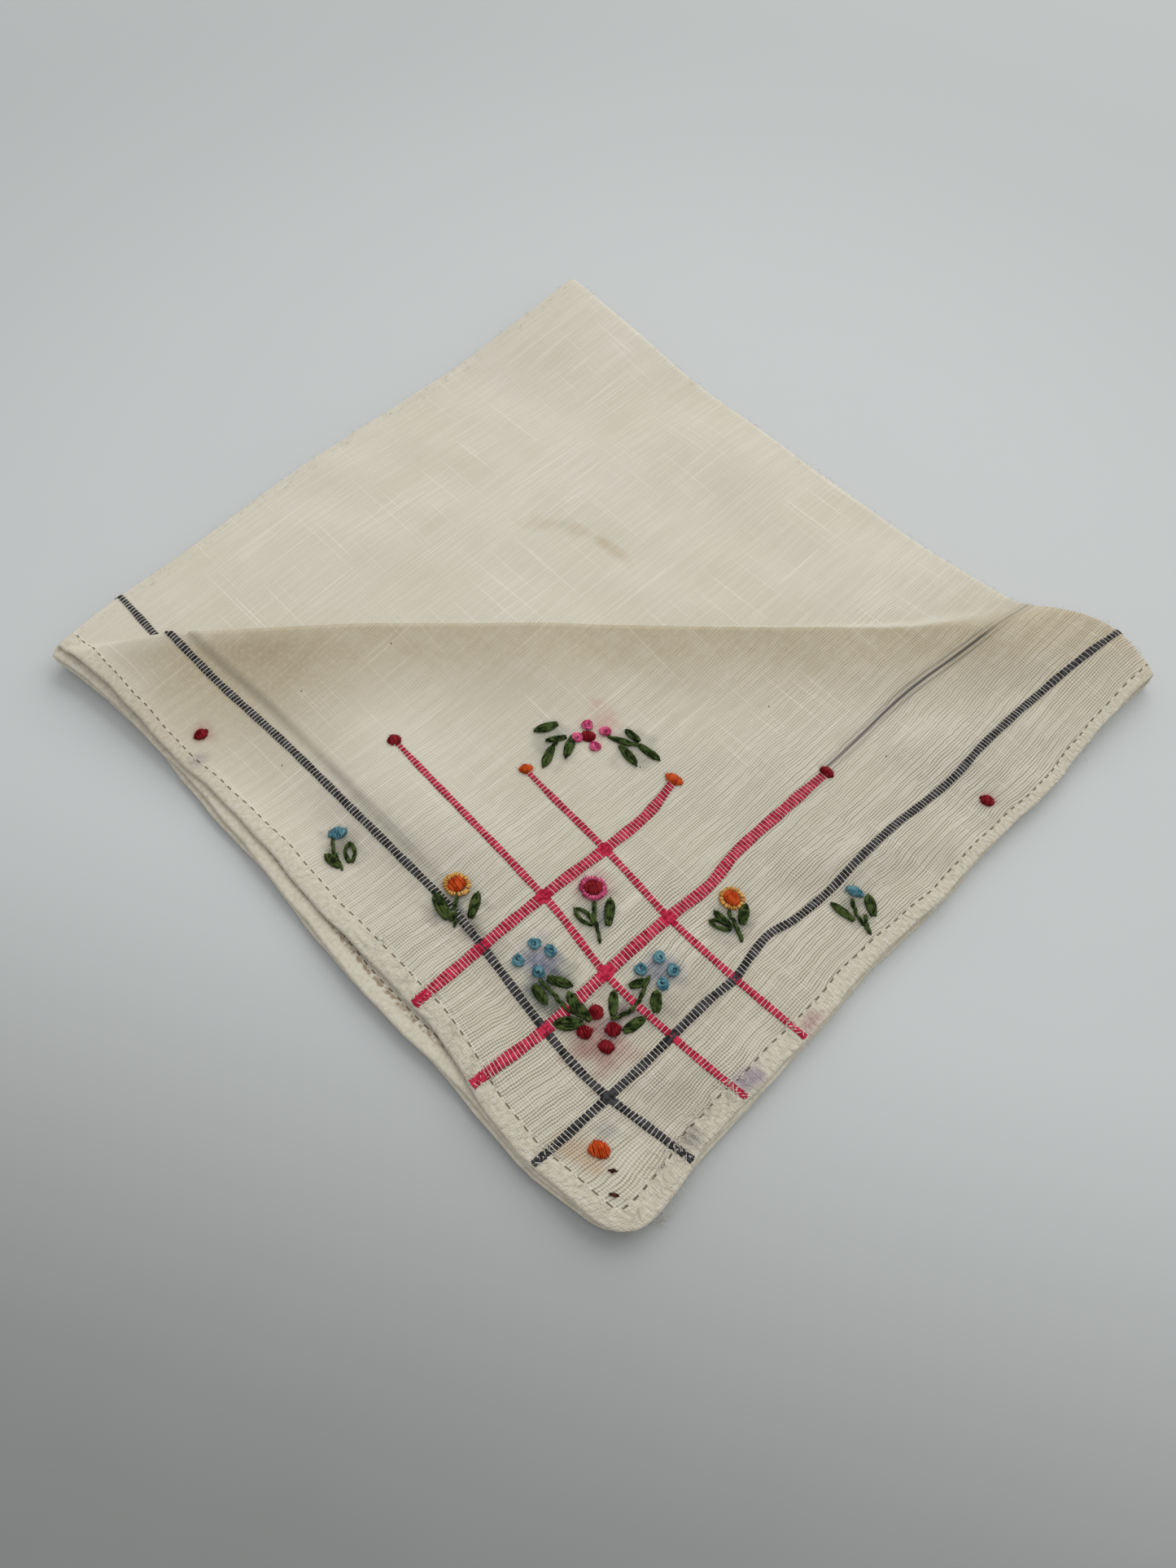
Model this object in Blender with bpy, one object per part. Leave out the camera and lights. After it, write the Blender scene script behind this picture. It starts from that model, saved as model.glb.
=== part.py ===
"""A linen handkerchief folded in quarters, lying with its four hemmed corners toward the front.

One closed solid: the whole 300 mm square of cloth, folded in half away from the front left, then in
half again from the right, so that four layers lie on each other, a little apart. The second fold wraps
round the first, which pushes the two inner layers out past the outer ones at the lower left hem.

All sizes are millimetres. Two directions lie in the folded quarter: p runs from the lower left hem to
the second fold, and q runs from the lower right hem to the first fold. Both hems meet at the front.
"""

import math

import bmesh
import bpy
import numpy as np

MM = 0.001

# The cloth, flat
SIDE = 300.0
HALF = SIDE / 2
HEM = 4.0
CORNER_RADIUS = HEM

# The layers
CLOTH = 1.0
AIR = 0.3
LAYERS_BELOW = 3
SPACING = CLOTH + AIR
FIRST_TURN = SPACING / 2
INNER_TURN = SPACING / 2
OUTER_TURN = SPACING * 3 / 2
STACK = CLOTH + LAYERS_BELOW * SPACING
LOWEST_MIDDLE = CLOTH / 2
HIGHEST_MIDDLE = STACK - CLOTH / 2

# The top layer's hems, measured from the centres of the turns, and the size of the folded quarter
P_OF_TURN = HALF - OUTER_TURN * math.pi / 2
Q_OF_TURN = HALF - FIRST_TURN * math.pi / 2
QUARTER = HALF

# Grid lines of the mesh
PLAIN_STEPS = 19
HEM_STEPS = 2
TURN_STEPS = 3
OUTER_TURN_STEPS = 2

# How far the cloth lies off a true square: the shift along p and along q where these lines of the
# quarter cross. Each row is one line of equal q, from the lower right hem to the first fold, and each
# column is one line of equal p, from the lower left hem to the second fold.
LINES = (0.0, 45.0, 100.0, 150.0)
OUT_OF_TABLE = -8.0
SHIFT_P = (
    (0.2, -2.4, -3.6, -5.5),
    (0.4, -2.4, -5.2, -8.0),
    (0.8, -2.0, -5.4, -7.5),
    (-1.5, -2.2, -3.6, -5.0),
)
SHIFT_Q = (
    (-0.2, -1.4, 1.0, 0.0),
    (0.0, -0.8, -0.2, 0.5),
    (-1.0, 0.0, 1.4, 3.2),
    (-8.0, -0.8, 3.2, 7.2),
)

# Places where the cloth is pushed aside: centre (p, q), reach, then the push (p, q) of the top layer
# and of the layers below it
PUSHES = (
    ("right shoulder", 150.0, 12.0, 20.0, 8.4, 0.0, 8.4, 0.0),
    ("front of the quarter", 20.0, 18.0, 30.0, -1.8, -1.4, -1.0, -0.6),
    ("left hem at the bands", 0.0, 18.0, 20.0, -2.4, 0.0, -0.8, 0.0),
    ("front corner", 0.0, 0.0, 14.0, -0.6, -1.2, 1.2, -0.6),
    ("lower layers, front corner", 6.0, 0.0, 13.0, 0.0, 0.0, 0.0, -2.8),
    ("lower layers, lower left", 0.0, 55.0, 34.0, 0.0, 0.0, -1.4, 0.0),
    ("lower layers, under the gap", 0.0, 122.0, 30.0, 0.0, 0.0, 1.2, 0.0),
)

# Places where the cloth stands up: centre (p, q), reach, rise of the top layer and of the lowest one
RISES = (
    ("left corner", 0.0, 150.0, 38.0, 1.8, 1.2),
    ("far corner", 150.0, 150.0, 44.0, 3.4, 2.2),
    ("lower left hem", 0.0, 118.0, 26.0, 1.4, 0.0),
    ("right shoulder", 146.0, 16.0, 30.0, 1.6, 0.0),
)

# The old crease across the middle, from the left corner to the right shoulder, where the layers stand
# up: its ends (p, q), its heights from left to right, the widths of its long front slope, its short
# back slope and the low tail behind that, the share of the height left on the tail, and how hollow
# the front slope is
CREASE_LEFT = (2.0, 142.0)
CREASE_RIGHT = (147.0, 18.0)
CREASE_HEIGHTS = (1.2, 3.4, 4.2, 3.8, 1.6)
FRONT_SLOPE = 30.0
BACK_SLOPE = 9.0
BACK_TAIL = 34.0
TAIL_SHARE = 0.24
FRONT_HOLLOW = 1.5


def falloff(distance, reach):
    """1 at the centre, sinking softly to 0 at the reach."""
    near = np.clip(1 - (distance / reach) ** 2, 0, 1)
    return near * near


def smooth(share):
    """An even start and end between 0 and 1."""
    held = np.clip(share, 0, 1)
    return held * held * (3 - 2 * held)


def line_weights(at):
    """How much each of the four LINES counts at a distance, on a smooth curve through all of them."""
    weights = []
    for line in LINES:
        weight = np.ones_like(at)
        for other in LINES:
            if other != line:
                weight = weight * (at - other) / (line - other)
        weights.append(weight)
    return np.array(weights)


def shift(table, p, q):
    """The value of a SHIFT table at (p, q), held level past its ends."""
    across = line_weights(np.clip(p, OUT_OF_TABLE, QUARTER))
    up = line_weights(np.clip(q, OUT_OF_TABLE, QUARTER))
    return np.einsum("ij,i...,j...->...", np.array(table), up, across)


def crease(p, q):
    """The height of the old crease at (p, q), for the top layer."""
    left = np.array(CREASE_LEFT)
    run = np.array(CREASE_RIGHT) - left
    length = np.linalg.norm(run)
    along = ((p - left[0]) * run[0] + (q - left[1]) * run[1]) / length**2
    behind = ((p - left[0]) * -run[1] + (q - left[1]) * run[0]) / length
    stations = np.linspace(0, 1, len(CREASE_HEIGHTS))
    height = np.interp(along, stations, CREASE_HEIGHTS)
    front = smooth(1 + behind / FRONT_SLOPE) ** FRONT_HOLLOW
    drop = 1 - (1 - TAIL_SHARE) * smooth(behind / BACK_SLOPE)
    tail = 1 - smooth((behind - BACK_SLOPE) / BACK_TAIL)
    return height * np.where(behind < 0, front, drop * tail)


def first_fold(v, side):
    """Folds the cloth's far half under: v is measured from the fold, side is -1 inside to 1 outside.

    Returns the distance from the turn's centre toward the hem, the height above it, and the height of
    the cloth's middle there.
    """
    end = FIRST_TURN * math.pi / 2
    angle = np.clip(v / FIRST_TURN, -math.pi / 2, math.pi / 2)
    radius = FIRST_TURN + side * CLOTH / 2
    toward_hem = -radius * np.cos(angle) + np.clip(np.abs(v) - end, 0, None)
    return toward_hem, radius * np.sin(angle), FIRST_TURN * np.sin(angle)


def second_fold(u, height, middle):
    """Folds the doubled cloth's far half under: u is measured from the fold.

    Each layer keeps its own length round the turn. Returns the distance from the turn's centre toward
    the hem, and the height and the middle's height above the table.
    """
    turn = SPACING + middle
    radius = SPACING + height
    end = turn * math.pi / 2
    angle = np.clip(u / turn, -math.pi / 2, math.pi / 2)
    toward_hem = -radius * np.cos(angle) + np.clip(np.abs(u) - end, 0, None)
    centre = STACK / 2
    return toward_hem, centre + radius * np.sin(angle), centre + turn * np.sin(angle)


def lay_down(p, q, z, middle):
    """Moves the true folded square into the shape it has on the table: x and y of a diamond, and z.

    level is 0 for the lowest layer and 1 for the top one. below is 0 for the top layer and 1 for each
    of the three others.
    """
    level = (middle - LOWEST_MIDDLE) / (HIGHEST_MIDDLE - LOWEST_MIDDLE)
    below = smooth((1 - level) * LAYERS_BELOW)
    moved_p = p + shift(SHIFT_P, p, q)
    moved_q = q + shift(SHIFT_Q, p, q)
    for _, at_p, at_q, reach, top_p, top_q, low_p, low_q in PUSHES:
        near = falloff(np.hypot(p - at_p, q - at_q), reach)
        moved_p = moved_p + near * (top_p + (low_p - top_p) * below)
        moved_q = moved_q + near * (top_q + (low_q - top_q) * below)
    lifted = z + crease(p, q) * level
    for _, at_p, at_q, reach, top, low in RISES:
        near = falloff(np.hypot(p - at_p, q - at_q), reach)
        lifted = lifted + near * (low + (top - low) * level)
    root = math.sqrt(2)
    x = (moved_p - moved_q) / root
    y = (moved_p + moved_q - QUARTER) / root
    return x, y, lifted


def round_corner(u, v):
    """Draws the square's corners in to arcs of CORNER_RADIUS."""
    start = HALF - CORNER_RADIUS
    a = np.clip((np.abs(u) - start) / CORNER_RADIUS, 0, 1)
    b = np.clip((np.abs(v) - start) / CORNER_RADIUS, 0, 1)
    drawn_u = a * (1 - np.sqrt(1 - b * b / 2)) * CORNER_RADIUS
    drawn_v = b * (1 - np.sqrt(1 - a * a / 2)) * CORNER_RADIUS
    return u - np.sign(u) * drawn_u, v - np.sign(v) * drawn_v


def place(u, v, side):
    """The place on the table of the cloth's point (u, v), on its wrong side (-1) or right side (1)."""
    u, v = round_corner(u, v)
    y, height, middle = first_fold(v, side)
    x, z, middle = second_fold(u, height, middle)
    return lay_down(P_OF_TURN - x, Q_OF_TURN - y, z, middle)


def grid_lines(turns):
    """Distances of the mesh's lines from a fold, both ways: fine on the turns and the hem."""
    near = [0.0]
    for turn, steps in turns:
        near += list(np.linspace(near[-1], turn * math.pi / 2, steps + 1)[1:])
    near += list(np.linspace(near[-1], HALF - HEM, PLAIN_STEPS + 1)[1:])
    near += list(np.linspace(HALF - HEM, HALF, HEM_STEPS + 1)[1:])
    return np.array([-distance for distance in near[:0:-1]] + near)


def middle_on_origin(bm):
    """Puts the origin under the middle of the cloth's outline, on the table."""
    points = np.array([vert.co for vert in bm.verts])
    low, high = points.min(axis=0), points.max(axis=0)
    move = -(low + high) / 2
    move[2] = -low[2]
    bmesh.ops.translate(bm, verts=bm.verts, vec=move)


def folded_mesh():
    """Both sides of the cloth as grids, joined all round by the hem's outer edge."""
    u_lines = grid_lines([(INNER_TURN, TURN_STEPS), (OUTER_TURN, OUTER_TURN_STEPS)])
    v_lines = grid_lines([(FIRST_TURN, TURN_STEPS)])
    u, v = np.meshgrid(u_lines, v_lines, indexing="ij")
    columns = len(v_lines)
    count = u.size
    bm = bmesh.new()
    for side in (1, -1):
        x, y, z = place(u, v, side)
        for point in np.stack([x, y, z], axis=-1).reshape(-1, 3):
            bm.verts.new(point * MM)
    bm.verts.ensure_lookup_table()

    def corner(i, j, side):
        return bm.verts[i * columns + j + (0 if side == 1 else count)]

    for i in range(len(u_lines) - 1):
        for j in range(columns - 1):
            for side in (1, -1):
                a = corner(i, j, side)
                b = corner(i + 1, j, side)
                c = corner(i + 1, j + 1, side)
                d = corner(i, j + 1, side)
                same_way = (u_lines[i] + u_lines[i + 1]) * (v_lines[j] + v_lines[j + 1]) > 0
                halves = ((a, b, d), (b, c, d)) if same_way else ((a, b, c), (a, c, d))
                for half in halves:
                    bm.faces.new(half if side == 1 else half[::-1])

    rim = [(i, 0) for i in range(len(u_lines))]
    rim += [(len(u_lines) - 1, j) for j in range(1, columns)]
    rim += [(i, columns - 1) for i in range(len(u_lines) - 2, -1, -1)]
    rim += [(0, j) for j in range(columns - 2, 0, -1)]
    for here, after in zip(rim, rim[1:] + rim[:1]):
        outer = corner(*here, 1), corner(*after, 1)
        inner = corner(*here, -1), corner(*after, -1)
        bm.faces.new((outer[1], outer[0], inner[0]))
        bm.faces.new((outer[1], inner[0], inner[1]))

    middle_on_origin(bm)
    mesh = bpy.data.meshes.new("handkerchief")
    bm.to_mesh(mesh)
    bm.free()
    return mesh


def linen():
    """Unbleached cream linen."""
    material = bpy.data.materials.new("linen")
    material.use_nodes = True
    shader = material.node_tree.nodes["Principled BSDF"]
    shader.inputs["Base Color"].default_value = (0.62, 0.56, 0.44, 1)
    shader.inputs["Roughness"].default_value = 0.9
    shader.inputs["Metallic"].default_value = 0.0
    return material


def main():
    for old in list(bpy.data.objects):
        bpy.data.objects.remove(old)
    mesh = folded_mesh()
    mesh.materials.append(linen())
    handkerchief = bpy.data.objects.new("handkerchief", mesh)
    bpy.context.scene.collection.objects.link(handkerchief)
    mesh.shade_smooth()
    mesh.set_sharp_from_angle(angle=math.radians(50))


main()
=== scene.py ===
# %% [markdown]
# # A folded linen handkerchief
#
# The real thing is one square of sheer cream linen with a narrow stitched hem. It is folded in half
# twice, so four layers lie as a diamond with the hemmed corners at the front, and its top corner
# carries ladder bands and small flowers in coloured thread. This lesson lays one thin sheet on the
# folds of the CAD solid, gives it a woven finish, and then sews every stitch as a small tube.

# %% The frame
import math

import bmesh
import bpy
import numpy as np
from mathutils import Matrix, Vector


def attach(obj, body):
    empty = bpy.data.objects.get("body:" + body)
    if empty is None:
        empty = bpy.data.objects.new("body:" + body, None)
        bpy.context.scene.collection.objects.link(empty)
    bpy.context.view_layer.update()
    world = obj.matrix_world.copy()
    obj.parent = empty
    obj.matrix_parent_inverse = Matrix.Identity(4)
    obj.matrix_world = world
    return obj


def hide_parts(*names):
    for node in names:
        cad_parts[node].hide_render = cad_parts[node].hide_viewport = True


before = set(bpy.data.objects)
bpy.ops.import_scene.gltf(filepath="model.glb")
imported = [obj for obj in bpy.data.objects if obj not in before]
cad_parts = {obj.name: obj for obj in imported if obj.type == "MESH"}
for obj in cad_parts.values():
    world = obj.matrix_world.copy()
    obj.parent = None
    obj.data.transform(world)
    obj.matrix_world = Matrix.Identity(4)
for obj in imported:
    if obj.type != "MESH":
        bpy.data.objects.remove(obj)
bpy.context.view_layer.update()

MM = 0.001

# %% [markdown]
# ## The camera
#
# The picture was taken by hand with a wide phone lens, looking steeply down and a little tilted. Two
# turns and a roll give the same view. The focal length is in pixels of the picture, and Blender wants
# it in millimetres on a 36 mm sensor that covers the longer side.

# %% The camera
PHOTO_HEIGHT = 1927
FOCAL_PIXELS = 1447
SENSOR = 36.0
CAMERA_PLACE = (-0.01284, -0.14005, 0.1791)
CAMERA_TURN = math.radians(4.13)
CAMERA_DOWN = math.radians(58.19)
CAMERA_ROLL = math.radians(5.69)


def camera_matrix():
    """The camera's place and directions as one matrix."""
    forward = Vector((
        math.sin(CAMERA_TURN) * math.cos(CAMERA_DOWN),
        math.cos(CAMERA_TURN) * math.cos(CAMERA_DOWN),
        -math.sin(CAMERA_DOWN),
    ))
    level = Vector((math.cos(CAMERA_TURN), -math.sin(CAMERA_TURN), 0))
    upward = level.cross(forward)
    right = level * math.cos(CAMERA_ROLL) + upward * math.sin(CAMERA_ROLL)
    above = upward * math.cos(CAMERA_ROLL) - level * math.sin(CAMERA_ROLL)
    turned = Matrix((right, above, -forward)).transposed().to_4x4()
    return Matrix.Translation(CAMERA_PLACE) @ turned


lens = bpy.data.cameras.new("camera")
lens.sensor_width = SENSOR
lens.lens = SENSOR * FOCAL_PIXELS / PHOTO_HEIGHT
lens.clip_start = 0.01
camera = bpy.data.objects.new("camera", lens)
camera.matrix_world = camera_matrix()
bpy.context.scene.collection.objects.link(camera)
bpy.context.scene.camera = camera
print("lens in mm:", round(lens.lens, 2))

# %% [markdown]
# ## The folds
#
# A cloth keeps its size when it is folded, so the best way to shape it is to start from the flat
# square and say where each of its points goes. The first fold takes half of it under at the far left
# side, and the second fold wraps that pair of layers round once more at the right. These are the same
# sizes as in the CAD solid, so the sheet lies in the middle of the solid's cloth.
#
# u and v are measured on the flat square from the two folds. p and q are measured on the folded
# quarter from its two hems: p from the lower left one and q from the lower right one.

# %% The folds
SIDE = 300.0
HALF = SIDE / 2
HEM = 4.0
SPACING = 1.3
FIRST_TURN = SPACING / 2
OUTER_TURN = SPACING * 3 / 2
LOWEST_MIDDLE = 0.5
STACK = LOWEST_MIDDLE * 2 + SPACING * 3
P_OF_TURN = HALF - OUTER_TURN * math.pi / 2
Q_OF_TURN = HALF - FIRST_TURN * math.pi / 2


def turned_under(distance, turn):
    """Lays a strip round a half circle: how far it reaches back toward the hem, and its height."""
    angle = np.clip(distance / turn, -math.pi / 2, math.pi / 2)
    straight = np.clip(np.abs(distance) - turn * math.pi / 2, 0, None)
    return straight - turn * np.cos(angle), turn * np.sin(angle)


def folded(u, v):
    """p, q and the height of a point of the flat square after both folds."""
    back_q, height = turned_under(v, FIRST_TURN)
    back_p, height = turned_under(u, SPACING + height)
    return P_OF_TURN - back_p, Q_OF_TURN - back_q, STACK / 2 + height


print("stack of four layers in mm:", STACK)

# %% [markdown]
# ## How the quarter lies
#
# No hand folds a true square. The hems bow, the corners are pulled out, the lower layers have slipped,
# and an old crease stands up across the middle. Each of these is a row in a small table, measured
# from the picture in the cloth's own millimetres: it is easy to read and easy to change.

# %% How the quarter lies
LINES = (0.0, 45.0, 100.0, 150.0)
OUT_OF_TABLE = -8.0
SHIFT_P = (
    (0.2, -2.4, -3.6, -5.5),
    (0.4, -2.4, -5.2, -8.0),
    (0.8, -2.0, -5.4, -7.5),
    (-1.5, -2.2, -3.6, -5.0),
)
SHIFT_Q = (
    (-0.2, -1.4, 1.0, 0.0),
    (0.0, -0.8, -0.2, 0.5),
    (-1.0, 0.0, 1.4, 3.2),
    (-8.0, -0.8, 3.2, 7.2),
)
# centre (p, q), reach, push (p, q) of the top layer, push (p, q) of the layers below
PUSHES = (
    ("right shoulder", 150.0, 10.5, 20.0, 7.8, 0.0, 7.8, 0.0),
    ("right hem", 95.0, 0.0, 38.0, 0.0, -2.2, 0.0, -1.3),
    ("right hem, far end", 124.0, 0.0, 34.0, 0.0, -2.1, 0.0, -1.2),
    ("front corner, right", 8.0, 0.0, 13.0, 0.0, -2.2, 0.0, -1.4),
    ("left hem, far end", 0.0, 117.0, 20.0, -1.0, 0.0, -0.4, 0.0),
    ("front of the quarter", 20.0, 18.0, 30.0, -1.8, -1.4, -1.0, -0.6),
    ("left hem at the bands", 0.0, 18.0, 20.0, -2.4, 0.0, -0.8, 0.0),
    ("front corner", 0.0, 0.0, 14.0, -0.6, -1.2, 1.2, -0.6),
    ("lower layers, front corner", 6.0, 0.0, 13.0, 0.0, 0.0, -0.4, 0.2),
    ("lower layers, lower left", 0.0, 55.0, 34.0, 0.0, 0.0, -1.4, 0.0),
    ("lower layers, under the gap", 0.0, 122.0, 30.0, 0.0, 0.0, 1.2, 0.0),
)
# centre (p, q), reach, rise of the top layer, rise of the lowest layer
RISES = (
    ("left corner", 0.0, 150.0, 38.0, 1.5, 1.2),
    ("far corner", 150.0, 150.0, 44.0, 2.6, 1.8),
    ("lower left hem", 0.0, 118.0, 26.0, 0.4, 0.0),
    ("right shoulder", 146.0, 16.0, 30.0, 1.6, 0.0),
)


def falloff(distance, reach):
    """1 at the centre, sinking softly to 0 at the reach."""
    near = np.clip(1 - (distance / reach) ** 2, 0, 1)
    return near * near


def smooth(share):
    """An even start and end between 0 and 1."""
    held = np.clip(share, 0, 1)
    return held * held * (3 - 2 * held)


def line_weights(at):
    """How much each of the four LINES counts at a distance, on a smooth curve through all of them."""
    weights = []
    for line in LINES:
        weight = np.ones_like(at)
        for other in LINES:
            if other != line:
                weight = weight * (at - other) / (line - other)
        weights.append(weight)
    return np.array(weights)


def shift(table, p, q):
    """The value of a SHIFT table at (p, q)."""
    across = line_weights(np.clip(p, OUT_OF_TABLE, HALF))
    up = line_weights(np.clip(q, OUT_OF_TABLE, HALF))
    return np.einsum("ij,i...,j...->...", np.array(table), up, across)


print("pushes:", len(PUSHES), "rises:", len(RISES))

# %% [markdown]
# ## The crease
#
# The cloth was once folded the other way, and that crease still stands up as a low straight ridge
# from the left corner to the right shoulder. Its front slope is long and hollow. Its back drops
# within a millimetre or two, so it hides a strip of the cloth behind it from a camera at the front.
# Along the crease the height comes from a few stations, and across it from one smooth profile.

# %% The crease
CREASE_LEFT = (2.0, 142.0)
CREASE_RIGHT = (147.0, 18.0)
CREASE_STATIONS = (0.0, 0.09, 0.3, 0.6, 0.85, 1.0)
CREASE_HEIGHTS = (1.3, 3.4, 4.3, 4.3, 3.2, 1.5)
FRONT_SLOPE = 38.0
FRONT_HOLLOW = 2.1
BACK_SLOPE = (3.0, 2.2, 2.2, 2.6, 5.0, 9.0)
BACK_TAIL = 34.0
TAIL_SHARE = 0.2
TUCK = (0.2, 2.6, 2.2, 1.7, 1.0, 0.0)
TUCK_TAIL = 46.0


crease_run = np.array(CREASE_RIGHT) - np.array(CREASE_LEFT)
crease_length = np.linalg.norm(crease_run)


def crease_place(p, q):
    """How far along the crease (0 to 1) and how far behind it (p, q) lies."""
    away_p, away_q = p - CREASE_LEFT[0], q - CREASE_LEFT[1]
    along = (away_p * crease_run[0] + away_q * crease_run[1]) / crease_length**2
    return along, (away_q * crease_run[0] - away_p * crease_run[1]) / crease_length


def crease(p, q):
    """The height of the old crease at (p, q) for the top layer, and how far it tucks the cloth under."""
    along, behind = crease_place(p, q)
    height = np.interp(along, CREASE_STATIONS, CREASE_HEIGHTS)
    back_slope = np.interp(along, CREASE_STATIONS, BACK_SLOPE)
    front = np.clip(1 + behind / FRONT_SLOPE, 0, 1) ** FRONT_HOLLOW
    drop = 1 - (1 - TAIL_SHARE) * smooth(behind / back_slope)
    tail = 1 - smooth((behind - back_slope) / BACK_TAIL)
    tucked = smooth(behind / back_slope) * (1 - smooth((behind - back_slope) / TUCK_TAIL))
    tucked = tucked * np.interp(along, CREASE_STATIONS, TUCK)
    tuck_p, tuck_q = tucked * -crease_run[1] / crease_length, tucked * crease_run[0] / crease_length
    return height * np.where(behind < 0, front, drop * tail), tuck_p, tuck_q


print("crease in mm:", round(math.dist(CREASE_LEFT, CREASE_RIGHT), 1))

# %% [markdown]
# ## Soft troughs and ridges
#
# Thin linen never lies flat between its stitches. The bands draw it in, the flowers pull small dents,
# and the hem puckers. Here each trough or ridge is one row: where it starts and ends, how wide it is,
# and how high. A few long waves with a fixed seed keep the rest from looking ironed.

# %% Soft troughs and ridges
# start (p, q), end (p, q), half width, height
WAVES = (
    ("hollow under the crease, left", 24.0, 112.0, 44.0, 88.0, 17.0, -0.9),
    ("hollow under the crease, right", 78.0, 64.0, 112.0, 36.0, 13.0, -0.8),
    ("bulge beside the left band", 26.0, 60.0, 24.0, 84.0, 9.0, 0.7),
    ("trough beside the left hem", 9.0, 62.0, 10.0, 104.0, 5.0, -0.5),
    ("left hem by the bands", 5.0, 22.0, 6.0, 56.0, 5.0, 0.5),
    ("first fold in the right band", 70.0, 19.0, 92.0, 7.0, 4.5, 0.7),
    ("trough beside it", 62.0, 17.0, 84.0, 5.0, 4.0, -0.5),
    ("second fold in the right band", 104.0, 20.0, 122.0, 11.0, 5.5, 0.6),
    ("wave to the right shoulder", 112.0, 8.0, 140.0, 22.0, 6.0, 0.5),
    ("pillow between the pink bands", 37.0, 37.0, 38.0, 38.0, 8.0, 0.45),
    ("pillow at the middle flower", 54.0, 34.0, 36.0, 54.0, 7.0, 0.35),
    ("pillow at the left knots", 22.0, 37.0, 23.0, 38.0, 7.0, 0.4),
    ("pillow at the right knots", 37.0, 22.0, 38.0, 23.0, 7.0, 0.4),
    ("pillow in the front corner", 10.0, 9.0, 12.0, 11.0, 8.0, 0.5),
    ("dent at the left ring flower", 21.0, 54.0, 21.0, 58.0, 5.0, -0.35),
    ("dent at the right ring flower", 53.0, 24.0, 54.0, 26.0, 5.0, -0.35),
    ("dent at the left blue flower", 10.0, 73.0, 12.0, 78.0, 5.0, -0.3),
    ("dent at the right blue flower", 68.0, 8.0, 70.0, 11.0, 5.0, -0.3),
    ("dent at the spray", 56.0, 66.0, 68.0, 58.0, 6.0, -0.35),
    ("long wave on the back", 62.0, 128.0, 132.0, 96.0, 15.0, 0.6),
    ("short wave on the back", 40.0, 138.0, 84.0, 112.0, 9.0, 0.4),
    ("trough before the far corner", 104.0, 140.0, 140.0, 112.0, 12.0, -0.5),
    ("wave beside the right fold", 132.0, 60.0, 138.0, 98.0, 9.0, 0.5),
)
UNEVEN = 0.16
UNEVEN_WAVES = 14
HEM_WANDER = 0.45
RIGHT_HEM_LOSS = 1.4
RIGHT_LOSS_RUN = (26.0, 100.0)
LEFT_HEM_LOSS = 1.2
LEFT_LOSS_RUN = (74.0, 104.0)
LEFT_LOSS_END = (148.0, 130.0)
rng = np.random.default_rng(11)
uneven_turns = rng.uniform(0, math.pi, UNEVEN_WAVES)
uneven_lengths = rng.uniform(9.0, 46.0, UNEVEN_WAVES)
uneven_starts = rng.uniform(0, 2 * math.pi, UNEVEN_WAVES)


def unevenness(p, q):
    """A sum of long soft waves in all directions, about -1 to 1."""
    total = np.zeros_like(p)
    for turn, length, start in zip(uneven_turns, uneven_lengths, uneven_starts):
        along = p * math.cos(turn) + q * math.sin(turn)
        total = total + np.sin(along * 2 * math.pi / length + start)
    return total / math.sqrt(UNEVEN_WAVES)


def relief(p, q):
    """The height of all troughs, ridges and waves at (p, q), for the top layer."""
    height = UNEVEN * unevenness(p, q)
    for _, from_p, from_q, to_p, to_q, reach, rise in WAVES:
        run_p, run_q = to_p - from_p, to_q - from_q
        along = ((p - from_p) * run_p + (q - from_q) * run_q) / (run_p**2 + run_q**2)
        held = np.clip(along, 0, 1)
        distance = np.hypot(p - from_p - held * run_p, q - from_q - held * run_q)
        height = height + rise * falloff(distance, reach * 1.5)
    return height


def soft_step(at, start, end):
    """A soft step from 0 at the start to 1 at the end."""
    return smooth((at - start) / (end - start))


def narrower(side, along):
    """How much narrower the hem on one side of the top quarter is than elsewhere, in mm."""
    if side == "right":
        return RIGHT_HEM_LOSS * soft_step(along, *RIGHT_LOSS_RUN)
    return LEFT_HEM_LOSS * soft_step(along, *LEFT_LOSS_RUN) * soft_step(along, *LEFT_LOSS_END)


def wander(u, v):
    """Draws the hems a little in and out, each side of the square in its own way."""
    near_u = smooth((np.abs(u) - 132) / 16) * np.sign(u)
    near_v = smooth((np.abs(v) - 132) / 16) * np.sign(v)
    moved_u = u + near_u * HEM_WANDER * (np.sin(v / 8.3 + np.sign(u) * 1.3) * np.sin(v / 21.0 + 0.6)
                                         + 0.35 * np.sin(v / 2.1) * np.sin(v / 6.7 + np.sign(u)))
    moved_v = v + near_v * HEM_WANDER * (np.sin(u / 7.7 + np.sign(v) * 0.9) * np.sin(u / 19.0 + 2.1)
                                         + 0.35 * np.sin(u / 1.9) * np.sin(u / 7.1 + np.sign(v)))
    return moved_u, moved_v


print("troughs and ridges:", len(WAVES), "at (37, 37) the relief is",
      round(float(relief(np.array([37.0]), np.array([37.0]))[0]), 2), "mm")

# %% [markdown]
# ## One place for everything
#
# This is the function that all pieces share: the flat square's point (u, v) in, its place on the table
# out. The needlework uses it too, so each stitch lies on the cloth however the folds are changed.
# Toward the open hems the four layers press together, which draws them in a little as well.

# %% One place for everything
CORNER_RADIUS = HEM
OUTLINE_MIDDLE = (0.944, 0.054)
PRESSED = 0.42
PRESS_REACH = 34.0
DRAWN_IN = 0.62
THICKEST = 0.86
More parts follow.
